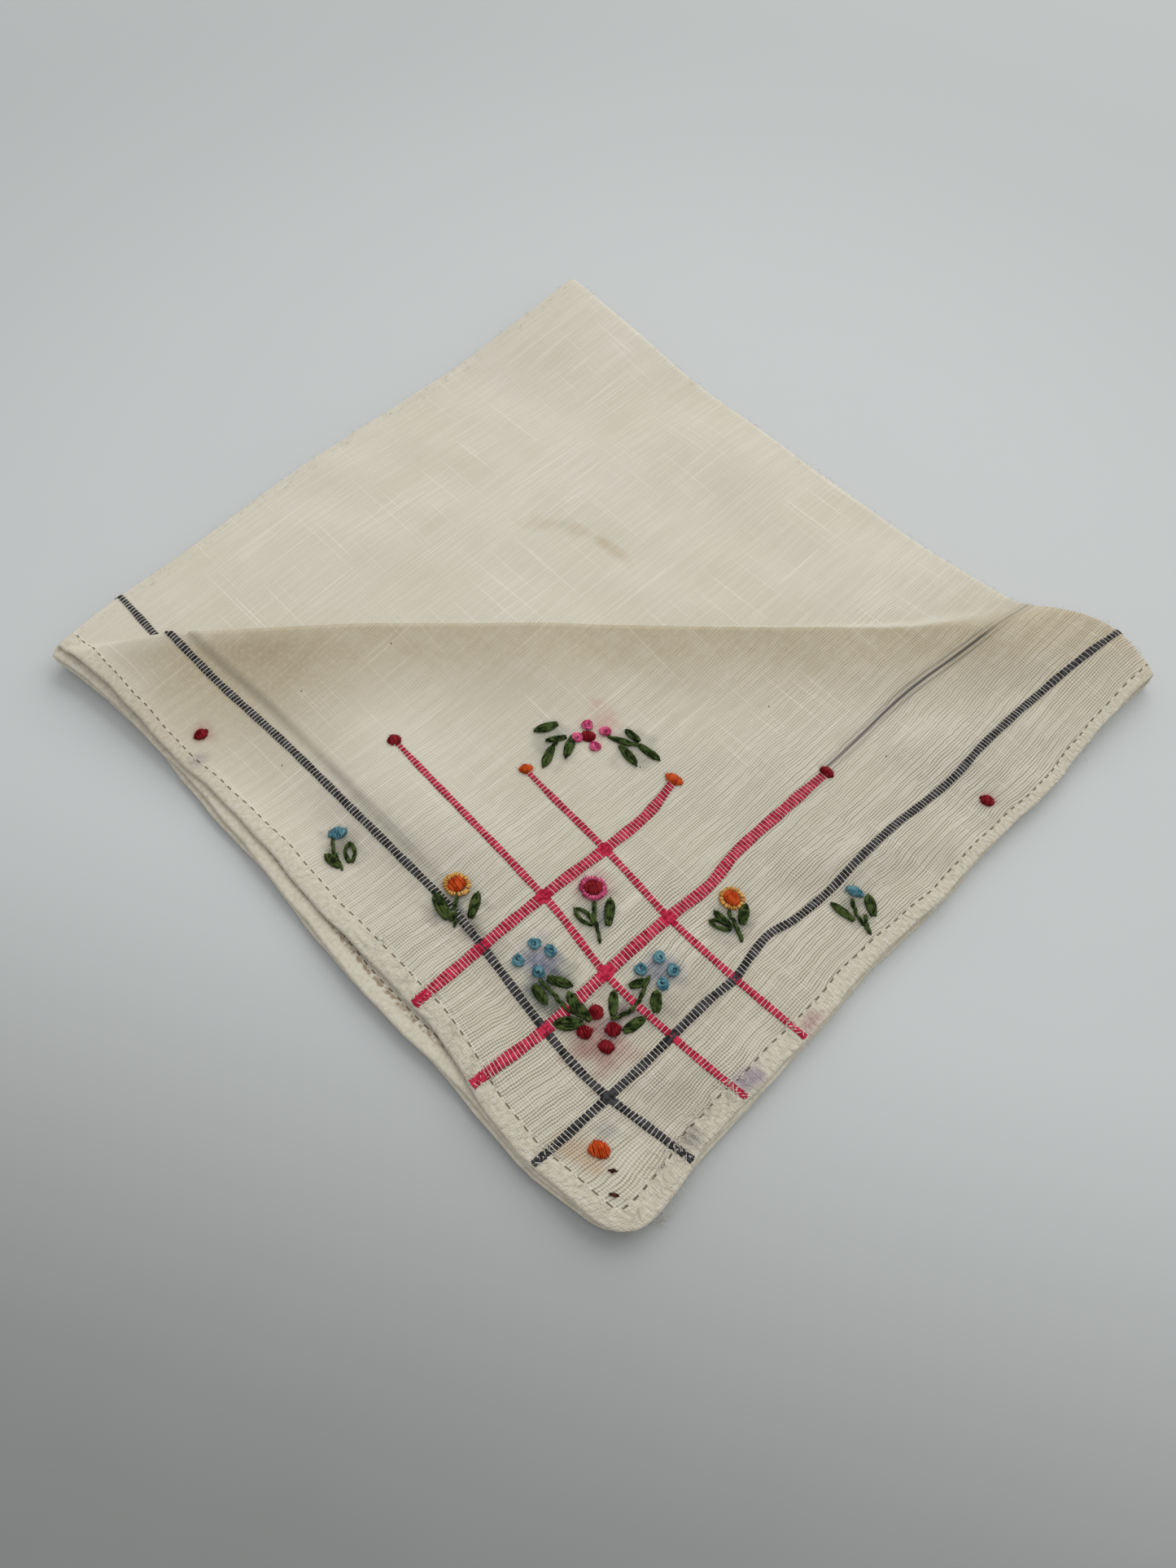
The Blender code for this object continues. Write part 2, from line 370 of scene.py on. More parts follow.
# distance from the hem's edge, share of the thickest place
THICKNESS = ((0.0, 0.4), (0.5, 0.68), (1.4, 0.76), (2.6, 0.66), (3.3, 0.56), (3.7, 0.4), (4.4, 0.34))
FLOOR_DROP = LOWEST_MIDDLE - THICKEST / 2 * max(share for _, share in THICKNESS) - 0.002


def rounded_corner(u, v):
    """Draws the square's corners in to arcs."""
    start = HALF - CORNER_RADIUS
    a = np.clip((np.abs(u) - start) / CORNER_RADIUS, 0, 1)
    b = np.clip((np.abs(v) - start) / CORNER_RADIUS, 0, 1)
    drawn_u = a * (1 - np.sqrt(1 - b * b / 2)) * CORNER_RADIUS
    drawn_v = b * (1 - np.sqrt(1 - a * a / 2)) * CORNER_RADIUS
    return u - np.sign(u) * drawn_u, v - np.sign(v) * drawn_v


def laid(u, v):
    """Where the middle of the cloth lies on the table, in metres: an array that ends in x, y, z."""
    u, v = rounded_corner(*wander(u, v))
    p, q, z = folded(u, v)
    level = (z - LOWEST_MIDDLE) / (STACK - 2 * LOWEST_MIDDLE)
    below = smooth((1 - level) * 3)
    moved_p = p + shift(SHIFT_P, p, q)
    moved_q = q + shift(SHIFT_Q, p, q)
    for _, at_p, at_q, reach, top_p, top_q, low_p, low_q in PUSHES:
        near = falloff(np.hypot(p - at_p, q - at_q), reach)
        moved_p = moved_p + near * (top_p + (low_p - top_p) * below)
        moved_q = moved_q + near * (top_q + (low_q - top_q) * below)
    height, tuck_p, tuck_q = crease(p, q)
    moved_p = moved_p - tuck_p * level
    moved_q = moved_q - tuck_q * level
    pressed = PRESSED * smooth(1 - np.minimum(p, q) / PRESS_REACH) * (z - LOWEST_MIDDLE)
    lifted = z - pressed + (height + relief(p, q)) * level - FLOOR_DROP
    for _, at_p, at_q, reach, top, low in RISES:
        near = falloff(np.hypot(p - at_p, q - at_q), reach)
        lifted = lifted + near * (low + (top - low) * level)
    x = (moved_p - moved_q) / math.sqrt(2) - OUTLINE_MIDDLE[0]
    y = (moved_p + moved_q - HALF) / math.sqrt(2) - OUTLINE_MIDDLE[1] + DRAWN_IN * pressed
    return np.stack([x, y, lifted], axis=-1) * MM


def thickness_share(u, v):
    """The cloth's thickness as a share of THICKEST: thin in the middle, plump along the hem."""
    from_edge = HALF - np.maximum(np.abs(u), np.abs(v))
    distances, shares = zip(*THICKNESS)
    return np.interp(from_edge, distances, shares)


print("front corner in mm:", np.round(laid(np.array(HALF), np.array(HALF)) / MM, 1))

# %% [markdown]
# ## The sheet
#
# The sheet starts as a flat grid, with lines close together where it bends: on the two folds and on
# the hem. The lines also run so that their diagonals follow the crease, which keeps its top clean.
# Every vertex is then moved to its folded place, and a map of the flat square is kept as the UV map,
# for the weave. Solidify gives the cloth its thickness, with more of it along the hem.

# %% The sheet
HEM_LINES = (0.0, 0.5, 1.4, 2.6, 3.3, 3.7, 4.4)
FINE_STEP = 1.06
COARSE_STEP = 3.2


def half_lines(turn, turn_steps, step, through):
    """Distances from a fold to the hem: even on the turn, then a fixed step through a given line."""
    end = turn * math.pi / 2
    on_turn = np.linspace(0, end, turn_steps + 1)
    first = through - math.floor((through - end) / step - 0.4) * step
    flat = np.arange(first, HALF - HEM_LINES[-1] - step * 0.3, step)
    hem = HALF - np.array(HEM_LINES[::-1])
    return np.concatenate([on_turn, flat, hem])


def both_ways(near, far):
    """Joins the lines of the near half and of the half that is folded under."""
    return np.concatenate([-far[:0:-1], near])


crease_slope = (CREASE_LEFT[1] - CREASE_RIGHT[1]) / (CREASE_RIGHT[0] - CREASE_LEFT[0])
u_lines = both_ways(
    half_lines(OUTER_TURN, 5, FINE_STEP, HALF - CREASE_LEFT[0]),
    half_lines(OUTER_TURN, 5, COARSE_STEP, HALF - HEM),
)
v_lines = both_ways(
    half_lines(FIRST_TURN, 3, FINE_STEP * crease_slope, HALF - CREASE_LEFT[1]),
    half_lines(FIRST_TURN, 3, COARSE_STEP, HALF - HEM),
)
print("lines:", len(u_lines), "by", len(v_lines))

# %% Points and faces from a grid
def mesh_of_points(name, points, maps, ends=(), layer_name="cloth"):
    """A mesh from rows of points, made from a flat grid.

    points is (rows, columns, 3) in metres and maps is (rows, columns, 2) for the UV map. ends are the
    rows after which the grid is cut, so that one grid makes many strips.
    """
    rows, columns = points.shape[:2]
    bm = bmesh.new()
    bmesh.ops.create_grid(bm, x_segments=columns - 1, y_segments=rows - 1, size=0.5)
    bm.faces.ensure_lookup_table()
    cut = [bm.faces[row * (columns - 1) + column] for row in ends for column in range(columns - 1)]
    bmesh.ops.delete(bm, geom=cut, context="FACES")
    mesh = bpy.data.meshes.new(name)
    bm.to_mesh(mesh)
    bm.free()
    mesh.vertices.foreach_set("co", points.reshape(-1))
    corners = np.empty(len(mesh.loops), dtype=np.int32)
    mesh.loops.foreach_get("vertex_index", corners)
    layer = mesh.uv_layers.new(name=layer_name)
    layer.data.foreach_set("uv", maps.reshape(-1, 2)[corners].reshape(-1))
    return mesh


def as_object(mesh):
    """Puts a mesh in the scene at the origin, smooth."""
    piece = bpy.data.objects.new(mesh.name, mesh)
    bpy.context.scene.collection.objects.link(piece)
    mesh.shade_smooth()
    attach(piece, "root")
    return piece


def split_faces(mesh):
    """Splits each four-sided face along the diagonal that follows the crease."""
    bm = bmesh.new()
    bm.from_mesh(mesh)
    bmesh.ops.triangulate(bm, faces=bm.faces, quad_method="ALTERNATE")
    bm.to_mesh(mesh)
    bm.free()


v_grid, u_grid = np.meshgrid(v_lines, u_lines, indexing="ij")
flat_map = np.stack([u_grid, v_grid], axis=-1) / SIDE + 0.5
sheet_points = laid(u_grid, v_grid)
sheet_mesh = mesh_of_points("linen_cloth", sheet_points, flat_map)
split_faces(sheet_mesh)
handkerchief = as_object(sheet_mesh)
group = handkerchief.vertex_groups.new(name="thickness")
shares = thickness_share(u_grid, v_grid).reshape(-1)
for share in np.unique(shares):
    group.add(np.flatnonzero(shares == share).tolist(), float(share), "REPLACE")
body = handkerchief.modifiers.new("thickness", "SOLIDIFY")
body.thickness = THICKEST * MM
body.offset = 0
body.vertex_group = group.name
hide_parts("handkerchief")
print("faces of the sheet:", len(handkerchief.data.polygons))

# %% [markdown]
# ## Small helpers for nodes
#
# A material in code is a tree of nodes and links. Two helpers keep it readable: one adds a node and
# fills its inputs with numbers or with other nodes' outputs, the other does one step of arithmetic.

# %% Small helpers for nodes
def add_node(tree, kind, inputs=(), **settings):
    """Adds a node. inputs maps a socket's name or number to a value or to an output to link."""
    node = tree.nodes.new(kind)
    for name, value in settings.items():
        setattr(node, name, value)
    for name, value in dict(inputs).items():
        if isinstance(value, bpy.types.NodeSocket):
            tree.links.new(value, node.inputs[name])
        else:
            node.inputs[name].default_value = value
    return node


def maths(tree, operation, *values, clamp=False):
    """One step of arithmetic on numbers or outputs."""
    node = add_node(tree, "ShaderNodeMath", enumerate(values), operation=operation)
    node.use_clamp = clamp
    return node.outputs[0]


def times(tree, first, second, clamp=False):
    """One number or output times another."""
    return maths(tree, "MULTIPLY", first, second, clamp=clamp)


def plus(tree, first, second, clamp=False):
    """The sum of two numbers or outputs."""
    return maths(tree, "ADD", first, second, clamp=clamp)


def minus(tree, first, second, clamp=False):
    """One number or output less another."""
    return maths(tree, "SUBTRACT", first, second, clamp=clamp)


def ramp(tree, value, start, end, low=0.0, high=1.0):
    """Turns a value between start and end into a soft step from low to high."""
    inputs = {"Value": value, "From Min": start, "From Max": end, "To Min": low, "To Max": high}
    return add_node(tree, "ShaderNodeMapRange", inputs, interpolation_type="SMOOTHSTEP").outputs[0]


def mixed(tree, share, first, second, way="MIX"):
    """Mixes two colours."""
    node = add_node(tree, "ShaderNodeMix", {0: share, 6: first, 7: second}, data_type="RGBA")
    node.blend_type = way
    return node.outputs[2]


def noise(tree, place, scale, detail=2.0, stretch=(1, 1, 1)):
    """Cloudy noise from 0 to 1 on a place that may be stretched."""
    moved = add_node(tree, "ShaderNodeVectorMath", {0: place, 1: stretch}, operation="MULTIPLY")
    inputs = {"Vector": moved.outputs[0], "Scale": scale, "Detail": detail}
    return add_node(tree, "ShaderNodeTexNoise", inputs)


def new_group(name, inputs, outputs):
    """A node group with named inputs (name, kind, value) and outputs (name, kind)."""
    tree = bpy.data.node_groups.new(name, "ShaderNodeTree")
    for label, kind, value in inputs:
        socket = tree.interface.new_socket(label, in_out="INPUT", socket_type=kind)
        socket.default_value = value
    for label, kind in outputs:
        tree.interface.new_socket(label, in_out="OUTPUT", socket_type=kind)
    return tree, tree.nodes.new("NodeGroupInput").outputs, tree.nodes.new("NodeGroupOutput").inputs


def use_group(tree, group, **inputs):
    """Places a node group in a material."""
    node = tree.nodes.new("ShaderNodeGroup")
    node.node_tree = group
    for name, value in inputs.items():
        label = name.replace("_", " ")
        if isinstance(value, bpy.types.NodeSocket):
            tree.links.new(value, node.inputs[label])
        else:
            node.inputs[label].default_value = value
    return node.outputs


def srgb(red, green, blue):
    """A colour from 0 to 255 as the linear colour that a shader takes."""
    parts = [value / 255 for value in (red, green, blue)]
    return tuple(x / 12.92 if x < 0.04045 else ((x + 0.055) / 1.055) ** 2.4 for x in parts) + (1.0,)


FLOAT, VECTOR = "NodeSocketFloat", "NodeSocketVector"
print("cream in linear light:", [round(value, 3) for value in srgb(206, 200, 184)])

# %% [markdown]
# ## The weave
#
# The linen is a plain weave with about two threads in each millimetre. The threads that run along the
# lower right hem are rounder and stand out as ribs, and between them the cloth is open enough for
# shadow to show. Two waves make the threads, a slow noise bends them a little, and stretched noise
# makes some of them thicker than their neighbours. As a group it serves any cloth.

# %% The weave
RIB_PITCH = 0.48
CROSS_PITCH = 0.45


def make_weave():
    """A group that gives the open gaps and the height of a plain weave from a place in millimetres."""
    tree, given, gives = new_group(
        "linen weave",
        [("Cloth", VECTOR, (0, 0, 0)), ("Openness", FLOAT, 0.6)],
        [("Gap", FLOAT), ("Height", FLOAT), ("Slub", FLOAT)],
    )
    bend = noise(tree, given["Cloth"], 0.11, 2.0).outputs["Color"]
    bent = add_node(tree, "ShaderNodeVectorMath", {0: bend, 1: (1.7, 1.7, 0), 2: given["Cloth"]},
                    operation="MULTIPLY_ADD").outputs[0]
    shake = noise(tree, given["Cloth"], 0.5, 1.0).outputs["Color"]
    bent = add_node(tree, "ShaderNodeVectorMath", {0: shake, 1: (0.32, 0.32, 0), 2: bent},
                    operation="MULTIPLY_ADD")
    part = add_node(tree, "ShaderNodeSeparateXYZ", {0: bent.outputs[0]}).outputs
    rib = maths(tree, "SINE", times(tree, part["Y"], 2 * math.pi / RIB_PITCH))
    cross = maths(tree, "SINE", times(tree, part["X"], 2 * math.pi / CROSS_PITCH))
    rib = maths(tree, "MULTIPLY_ADD", rib, 0.5, 0.5)
    cross = maths(tree, "MULTIPLY_ADD", cross, 0.5, 0.5)
    thick_ribs = noise(tree, given["Cloth"], 1.0, 1.0, (0.06, 2.0, 1)).outputs[0]
    thick_cross = noise(tree, given["Cloth"], 1.0, 1.0, (1.9, 0.06, 1)).outputs[0]
    slub = plus(tree, ramp(tree, thick_ribs, 0.35, 0.7), ramp(tree, thick_cross, 0.55, 0.85, 0.0, 0.6))
    between = maths(tree, "POWER", rib, 1.6)
    crossing = maths(tree, "MULTIPLY_ADD", maths(tree, "POWER", cross, 1.3), 0.5, 0.5)
    thin = ramp(tree, slub, 0.1, 1.3, 1.0, 0.3)
    gap = times(tree, times(tree, between, crossing), thin)
    gap = times(tree, gap, given["Openness"], clamp=True)
    fine = noise(tree, given["Cloth"], 3.1, 2.0).outputs[0]
    height = maths(tree, "MULTIPLY_ADD", rib, -0.6, times(tree, cross, -0.35))
    height = plus(tree, height, times(tree, slub, 0.3))
    height = maths(tree, "MULTIPLY_ADD", fine, 0.3, height)
    tree.links.new(gap, gives["Gap"])
    tree.links.new(height, gives["Height"])
    ways = ((0.035, 2.6, 1), (2.6, 0.035, 1))
    strays = [noise(tree, given["Cloth"], 1.0, 0.0, way).outputs[0] for way in ways]
    stray = maths(tree, "MAXIMUM", *(ramp(tree, value, 0.72, 0.78) for value in strays))
    tree.links.new(maths(tree, "MULTIPLY_ADD", slub, 0.12, times(tree, stray, 0.5)), gives["Slub"])
    return tree


weave = make_weave()
print("nodes in the weave:", len(weave.nodes))

# %% [markdown]
# ## Dye marks and painted shade
#
# The coloured threads have bled a little in the wash, and the thread ends behind the flowers shimmer
# through. Shade is painted in as well: a warm painted shade on the slope in front of the crease, and a
# grey painted shade at the left corner. A mark is a soft oval with a ragged edge, written as one row.
# All marks and the painted shade are worked out once for each vertex and kept in the mesh as a colour,
# which is quick to render and stays on the cloth when it is folded.

# %% Dye marks and painted shade
# centre (p, q), size (p, q), turn in degrees, strength, tint
MARKS = (
    ("pink beside the front knots", 21.5, 23.0, 7.4, 7.0, 0, 0.8, (236, 182, 190)),
    ("pink beside the spray", 63.5, 63.0, 5.0, 4.4, 0, 0.6, (240, 196, 198)),
    ("pink round the middle flower", 38.4, 41.6, 4.2, 4.2, 0, 0.6, (238, 196, 206)),
    ("pink beside the left dot", 6.6, 109.6, 2.8, 2.6, 0, 0.7, (226, 190, 196)),
    ("pink beside the right dot", 104.0, 6.4, 2.8, 2.6, 0, 0.6, (226, 186, 196)),
    ("violet pink on the right hem", 47.0, 1.4, 3.4, 1.8, 0, 0.8, (206, 150, 176)),
    ("violet on the right hem", 33.0, 2.4, 3.6, 2.4, 0, 0.85, (176, 168, 206)),
    ("grey on the right hem", 19.5, 2.0, 3.0, 2.4, 0, 0.7, (150, 150, 156)),
    ("violet on the left hem", 2.6, 106.0, 2.6, 2.0, 0, 0.6, (190, 186, 206)),
    ("blue among the left knots", 22.2, 37.6, 4.4, 4.4, 0, 0.95, (158, 168, 216)),
    ("blue among the right knots", 36.6, 24.0, 4.6, 4.2, 0, 0.9, (168, 178, 214)),
    ("grey blue by the left leaves", 19.6, 34.4, 3.6, 3.2, 20, 0.9, (146, 166, 192)),
    ("blue by the front leaves", 24.6, 23.6, 3.6, 3.0, 0, 0.7, (160, 170, 200)),
    ("blue by the left ring flower", 17.4, 52.4, 3.0, 2.2, 0, 0.8, (150, 162, 200)),
    ("blue by the right ring flower", 49.6, 20.4, 3.0, 2.2, 0, 0.7, (160, 172, 200)),
    ("blue by the middle flower", 36.0, 36.4, 2.6, 2.2, 0, 0.7, (160, 172, 200)),
    ("orange beside the corner dot", 7.0, 12.0, 4.0, 4.6, 0, 0.6, (236, 204, 174)),
    ("blue beside the corner dot", 12.0, 12.0, 2.0, 2.0, 0, 0.6, (190, 200, 214)),
    ("grey in the front corner", 22.0, 9.0, 10.0, 7.0, 30, 0.32, (180, 182, 178)),
    ("grey beside the left band", 18.0, 62.0, 4.0, 36.0, 0, 0.3, (176, 178, 172)),
    ("grey beside the left band, front", 20.0, 25.0, 6.0, 10.0, 0, 0.4, (180, 182, 178)),
    ("grey right of the knots", 36.0, 18.0, 9.0, 7.0, 0, 0.3, (186, 188, 184)),
    ("brown on the back, left", 90.2, 105.0, 5.5, 2.6, 38, 0.26, (226, 208, 178)),
    ("brown on the back, middle", 95.2, 99.0, 5.5, 2.2, 58, 0.32, (222, 204, 172)),
    ("brown on the back, right", 97.4, 91.0, 6.0, 1.8, 90, 0.4, (214, 194, 160)),
    ("thread behind the left blue flower", 10.4, 75.0, 4.4, 4.4, 0, 0.8, (160, 166, 162)),
    ("thread behind the right blue flower", 68.8, 8.8, 4.2, 4.0, 0, 0.7, (160, 166, 162)),
    ("thread behind the left ring flower", 17.6, 54.0, 5.6, 5.2, 0, 0.75, (156, 162, 162)),
    ("thread behind the middle flower", 35.4, 38.0, 5.0, 4.6, 0, 0.6, (170, 174, 172)),
    ("thread behind the right ring flower", 51.4, 21.6, 5.2, 4.8, 0, 0.65, (162, 168, 166)),
    ("thread behind the spray, left", 53.6, 66.0, 5.6, 5.0, -45, 0.6, (164, 172, 170)),
    ("thread behind the spray, right", 64.0, 55.6, 5.8, 4.6, -45, 0.6, (162, 170, 170)),
    ("thread behind the left leaves", 20.6, 32.4, 6.4, 6.2, 0, 0.85, (156, 166, 164)),
    ("thread behind the right leaves", 30.4, 23.4, 5.8, 6.4, 0, 0.6, (160, 166, 168)),
    ("dark thread below the left ring flower", 17.0, 50.0, 3.4, 7.6, 0, 0.6, (156, 158, 156)),
)
# Painted shade: a warm shade on the front slope of the crease, and a grey shade at the left corner.
CREASE_SHADE_TINT = (230, 220, 203)
CREASE_SHADE_REACH = 23.0
LEFT_SHADE_TINT = (229, 223, 212)
LEFT_SHADE_PLACE = (18.0, 120.0)
LEFT_SHADE_SIZE = (24.0, 34.0)


def tinted(tint, share, colour):
    """Multiplies a tint by a colour, as far as share says."""
    return tint * (1 + share[..., None] * (np.array(srgb(*colour)[:3]) - 1))


def tint_of(p, q):
    """The tint of all marks and painted shade at (p, q) in linear light: an array that ends in red, green,
    blue.
    """
    ragged = 0.45 * unevenness(p * 6, q * 6)
    tint = np.ones(p.shape + (3,))
    for _, at_p, at_q, size_p, size_q, turn, strength, colour in MARKS:
        cosine, sine = math.cos(math.radians(turn)), math.sin(math.radians(turn))
        along = ((p - at_p) * cosine - (q - at_q) * sine) / size_p
        across = ((p - at_p) * sine + (q - at_q) * cosine) / size_q
        near = smooth((1.1 - np.hypot(along, across) - ragged * 0.5) / 0.95)
        tint = tinted(tint, near * strength, colour)
    # Painted warm shade on the front slope of the crease, fading toward both ends.
    along, behind = crease_place(p, q)
    reach = 12 * smooth((along - 0.84) / 0.16)
    ends = smooth(along / 0.2) * smooth(1 - (behind - 0.4) / (reach + 0.01))
    yellow = smooth(1 + behind / CREASE_SHADE_REACH) * ends * np.clip(0.9 + 0.25 * ragged, 0, 1)
    tint = tinted(tint, yellow, CREASE_SHADE_TINT)
    # Painted grey shade at the left corner, in front of the crease.
    away = np.hypot((p - LEFT_SHADE_PLACE[0]) / LEFT_SHADE_SIZE[0], (q - LEFT_SHADE_PLACE[1]) / LEFT_SHADE_SIZE[1])
    left_shade = smooth(1.2 - away) * smooth(-behind / 4)
    return tinted(tint, left_shade, LEFT_SHADE_TINT)


print("marks:", len(MARKS), "tint in front of the crease:",
      np.round(tint_of(np.array(74.0), np.array(76.0)), 2))

# %% The marks and painted shade on the sheet
dye_and_shade = np.ones((len(sheet_mesh.vertices), 4), dtype=np.float32)
on_top = (u_grid > 0) & (v_grid > 0)
dye_and_shade[:, :3] = np.where(on_top[..., None], tint_of(HALF - u_grid, HALF - v_grid), 1.0).reshape(-1, 3)
layer = sheet_mesh.color_attributes.new("dye_and_shade", "FLOAT_COLOR", "POINT")
layer.data.foreach_set("color", dye_and_shade.reshape(-1))
print("vertices with a mark:", int((dye_and_shade[:, 2] < 0.99).sum()))

# %% [markdown]
# ## Bands in the weave
#
# The black band goes round all four sides of the square, 15 mm in. On the top quarter it is sewn as
# real thread further down. On the other quarters, and where it shows through from the layer below,
# it is part of the finish: a group turns the distance from a line into a dark strip with light rungs.

# %% Bands in the weave
RUNG_PITCH = 0.72


def make_strip():
    """A group that gives the mask of a strip, less the light rungs across it."""
    tree, given, gives = new_group(
        "ladder strip",
        [("Across", FLOAT, 0.0), ("Along", FLOAT, 0.0), ("Half width", FLOAT, 0.8), ("Blur", FLOAT, 0.2)],
        [("Dark", FLOAT)],
    )
    outer = plus(tree, given["Half width"], given["Blur"])
    inner = minus(tree, given["Half width"], given["Blur"])
    inside = ramp(tree, maths(tree, "ABSOLUTE", given["Across"]), outer, inner)
    turn = maths(tree, "SINE", times(tree, given["Along"], 2 * math.pi / RUNG_PITCH))
    rung = times(tree, ramp(tree, turn, 0.55, 0.85), inside)
    tree.links.new(minus(tree, inside, rung, clamp=True), gives["Dark"])
    return tree


ladder_strip = make_strip()
print("nodes in the strip:", len(ladder_strip.nodes))

# %% [markdown]
# ## The linen
#
# The finish puts these together on the cloth's own map. First comes cream that varies slowly, then
# the gaps of the weave and the bands. The hem is two more layers of the same cloth, so it is opaque,
# lighter and softer, with a line of pricked stitch holes along it. A brown line on the second layer is
# part stain and part painted shade of the gap under the top hem. The marks and the painted shade come
# last.

# %% The linen
CREAM = srgb(208, 201, 182)
PALE = srgb(214, 208, 191)
SHADOW = srgb(128, 117, 94)
HEM_CREAM = srgb(212, 205, 188)
HOLE = srgb(86, 62, 36)
BLACK_DYE = srgb(52, 51, 51)
STITCH_PITCH = 2.1
STITCH_LINE = 3.6


def finish_linen():
    """The material of the whole cloth."""
    material = bpy.data.materials.new("linen")
    material.use_nodes = True
    tree = material.node_tree
    shader = tree.nodes["Principled BSDF"]
    flat = add_node(tree, "ShaderNodeUVMap", uv_map="cloth").outputs[0]
    square = add_node(tree, "ShaderNodeVectorMath", {0: flat, 1: (SIDE, SIDE, 0), 2: (-HALF, -HALF, 0)},
                      operation="MULTIPLY_ADD").outputs[0]
    part = add_node(tree, "ShaderNodeSeparateXYZ", {0: square}).outputs
    side_u = maths(tree, "ABSOLUTE", part["X"])
    side_v = maths(tree, "ABSOLUTE", part["Y"])
    p = minus(tree, HALF, side_u)
    q = minus(tree, HALF, side_v)
    from_edge = maths(tree, "MINIMUM", p, q)
    top = times(tree, maths(tree, "GREATER_THAN", part["X"], 0.0),
                maths(tree, "GREATER_THAN", part["Y"], 0.0))
    under = minus(tree, 1.0, top)
    top_p = minus(tree, HALF, part["X"])
    top_q = minus(tree, HALF, part["Y"])
    cloth = add_node(tree, "ShaderNodeCombineXYZ", {0: top_p, 1: top_q}).outputs[0]

    clouds = noise(tree, cloth, 0.05, 3.0).outputs[0]
    # Toward the back of the quarter the painted shadow in the weave's gaps fades, where the light from
    # behind falls, and the bump grows weaker.
    toward_back = maths(tree, "MULTIPLY_ADD", top_q, 1.5, times(tree, top_p, 0.5))
    openness = times(tree, ramp(tree, toward_back, 50.0, 160.0, 1.1, 0.24),
                     ramp(tree, clouds, 0.3, 0.7, 0.75, 1.1))
    threads = use_group(tree, weave, Cloth=cloth, Openness=openness)
    colour = mixed(tree, ramp(tree, clouds, 0.3, 0.75), CREAM, PALE)
    colour = mixed(tree, threads["Slub"], colour, srgb(236, 231, 218))
    colour = mixed(tree, threads["Gap"], colour, SHADOW)

    drawn = ramp(tree, top_p, 150.0, 104.0, 25.8, 29.7)
    off_drawn = minus(tree, q, drawn)
    worn_in = times(tree, ramp(tree, p, 86.0, 106.0, 0.75, 1.0), ramp(tree, p, 132.0, 138.0, 1.0, 0.4))
    pulled = times(tree, times(tree, top, maths(tree, "GREATER_THAN", p, 86.4)), worn_in)
    patchy = ramp(tree, clouds, 0.25, 0.6, 0.6, 1.0)
    shown = times(tree, maths(tree, "LESS_THAN", q, 128.6), ramp(tree, q, 54.0, 74.0))
    shown = times(tree, times(tree, top, shown), patchy)
    for _, across, along, where, half_width, blur, strength in (
        ("round the lower left side", minus(tree, p, 15.0), q, under, 0.8, 0.25, 0.9),
        ("round the lower right side", minus(tree, q, 14.5), p, under, 0.8, 0.25, 0.9),
        ("seen through, left", minus(tree, p, ramp(tree, q, 104.0, 128.0, 19.1, 17.6)), 0.0,
         shown, 0.9, 0.9, 0.36),
        ("pulled thread, right", off_drawn, 0.0, pulled, 0.26, 0.16, 0.85),
        ("threads beside it", minus(tree, maths(tree, "ABSOLUTE", off_drawn), 0.95), 0.0,
         times(tree, pulled, ramp(tree, p, 94.0, 116.0, 0.6, 1.0)), 0.16, 0.14, 0.42),
        ("grey round it", off_drawn, 0.0, pulled, 1.3, 1.2, 0.16),
    ):
        strip = use_group(tree, ladder_strip, Across=across, Along=along, Half_width=half_width, Blur=blur)
        dark = times(tree, times(tree, strip["Dark"], where), strength)
        colour = mixed(tree, dark, colour, BLACK_DYE)

    on_right = times(tree, top, maths(tree, "LESS_THAN", q, p))
    on_left = minus(tree, top, on_right)
    right_loss = ramp(tree, p, *RIGHT_LOSS_RUN, 0.0, RIGHT_HEM_LOSS)
    left_loss = ramp(tree, q, *LEFT_LOSS_RUN, 0.0, LEFT_HEM_LOSS)
    left_loss = times(tree, left_loss, ramp(tree, q, *LEFT_LOSS_END))
    from_edge = maths(tree, "MULTIPLY_ADD", on_right, right_loss, from_edge)
    from_edge = maths(tree, "MULTIPLY_ADD", on_left, left_loss, from_edge)
    fluff = noise(tree, cloth, 1.1, 5.0).outputs[0]
    hem = ramp(tree, maths(tree, "MULTIPLY_ADD", fluff, 0.5, from_edge), 4.3, 3.7)
    hem_colour = mixed(tree, ramp(tree, fluff, 0.35, 0.7), HEM_CREAM, srgb(198, 188, 166))
    colour = mixed(tree, times(tree, hem, 0.85), colour, hem_colour)
    along = plus(tree, times(tree, maths(tree, "GREATER_THAN", side_u, side_v), part["Y"]),
                  times(tree, maths(tree, "GREATER_THAN", side_v, side_u), part["X"]))
    beat = maths(tree, "SINE", maths(tree, "MULTIPLY_ADD", fluff, 1.6,
                 times(tree, along, 2 * math.pi / STITCH_PITCH)))
    off_line = maths(tree, "ABSOLUTE", minus(tree, from_edge, STITCH_LINE))
    hole = times(tree, ramp(tree, beat, -0.1, 0.25), ramp(tree, off_line, 0.2, 0.08))
    colour = mixed(tree, times(tree, hole, 0.85), colour, HOLE)

    # A brown line on the second layer near its edge: part stain, part painted shade of the gap under the
    # top hem.
    second = times(tree, maths(tree, "GREATER_THAN", part["X"], 0.0),
                   maths(tree, "LESS_THAN", part["Y"], 0.0))
    line = ramp(tree, maths(tree, "ABSOLUTE", minus(tree, p, 3.0)), 0.7, 0.1)
    stain_and_gap_shade = times(tree, times(tree, line, second), ramp(tree, fluff, 0.38, 0.6))
    colour = mixed(tree, times(tree, stain_and_gap_shade, 0.7), colour, srgb(128, 100, 66))
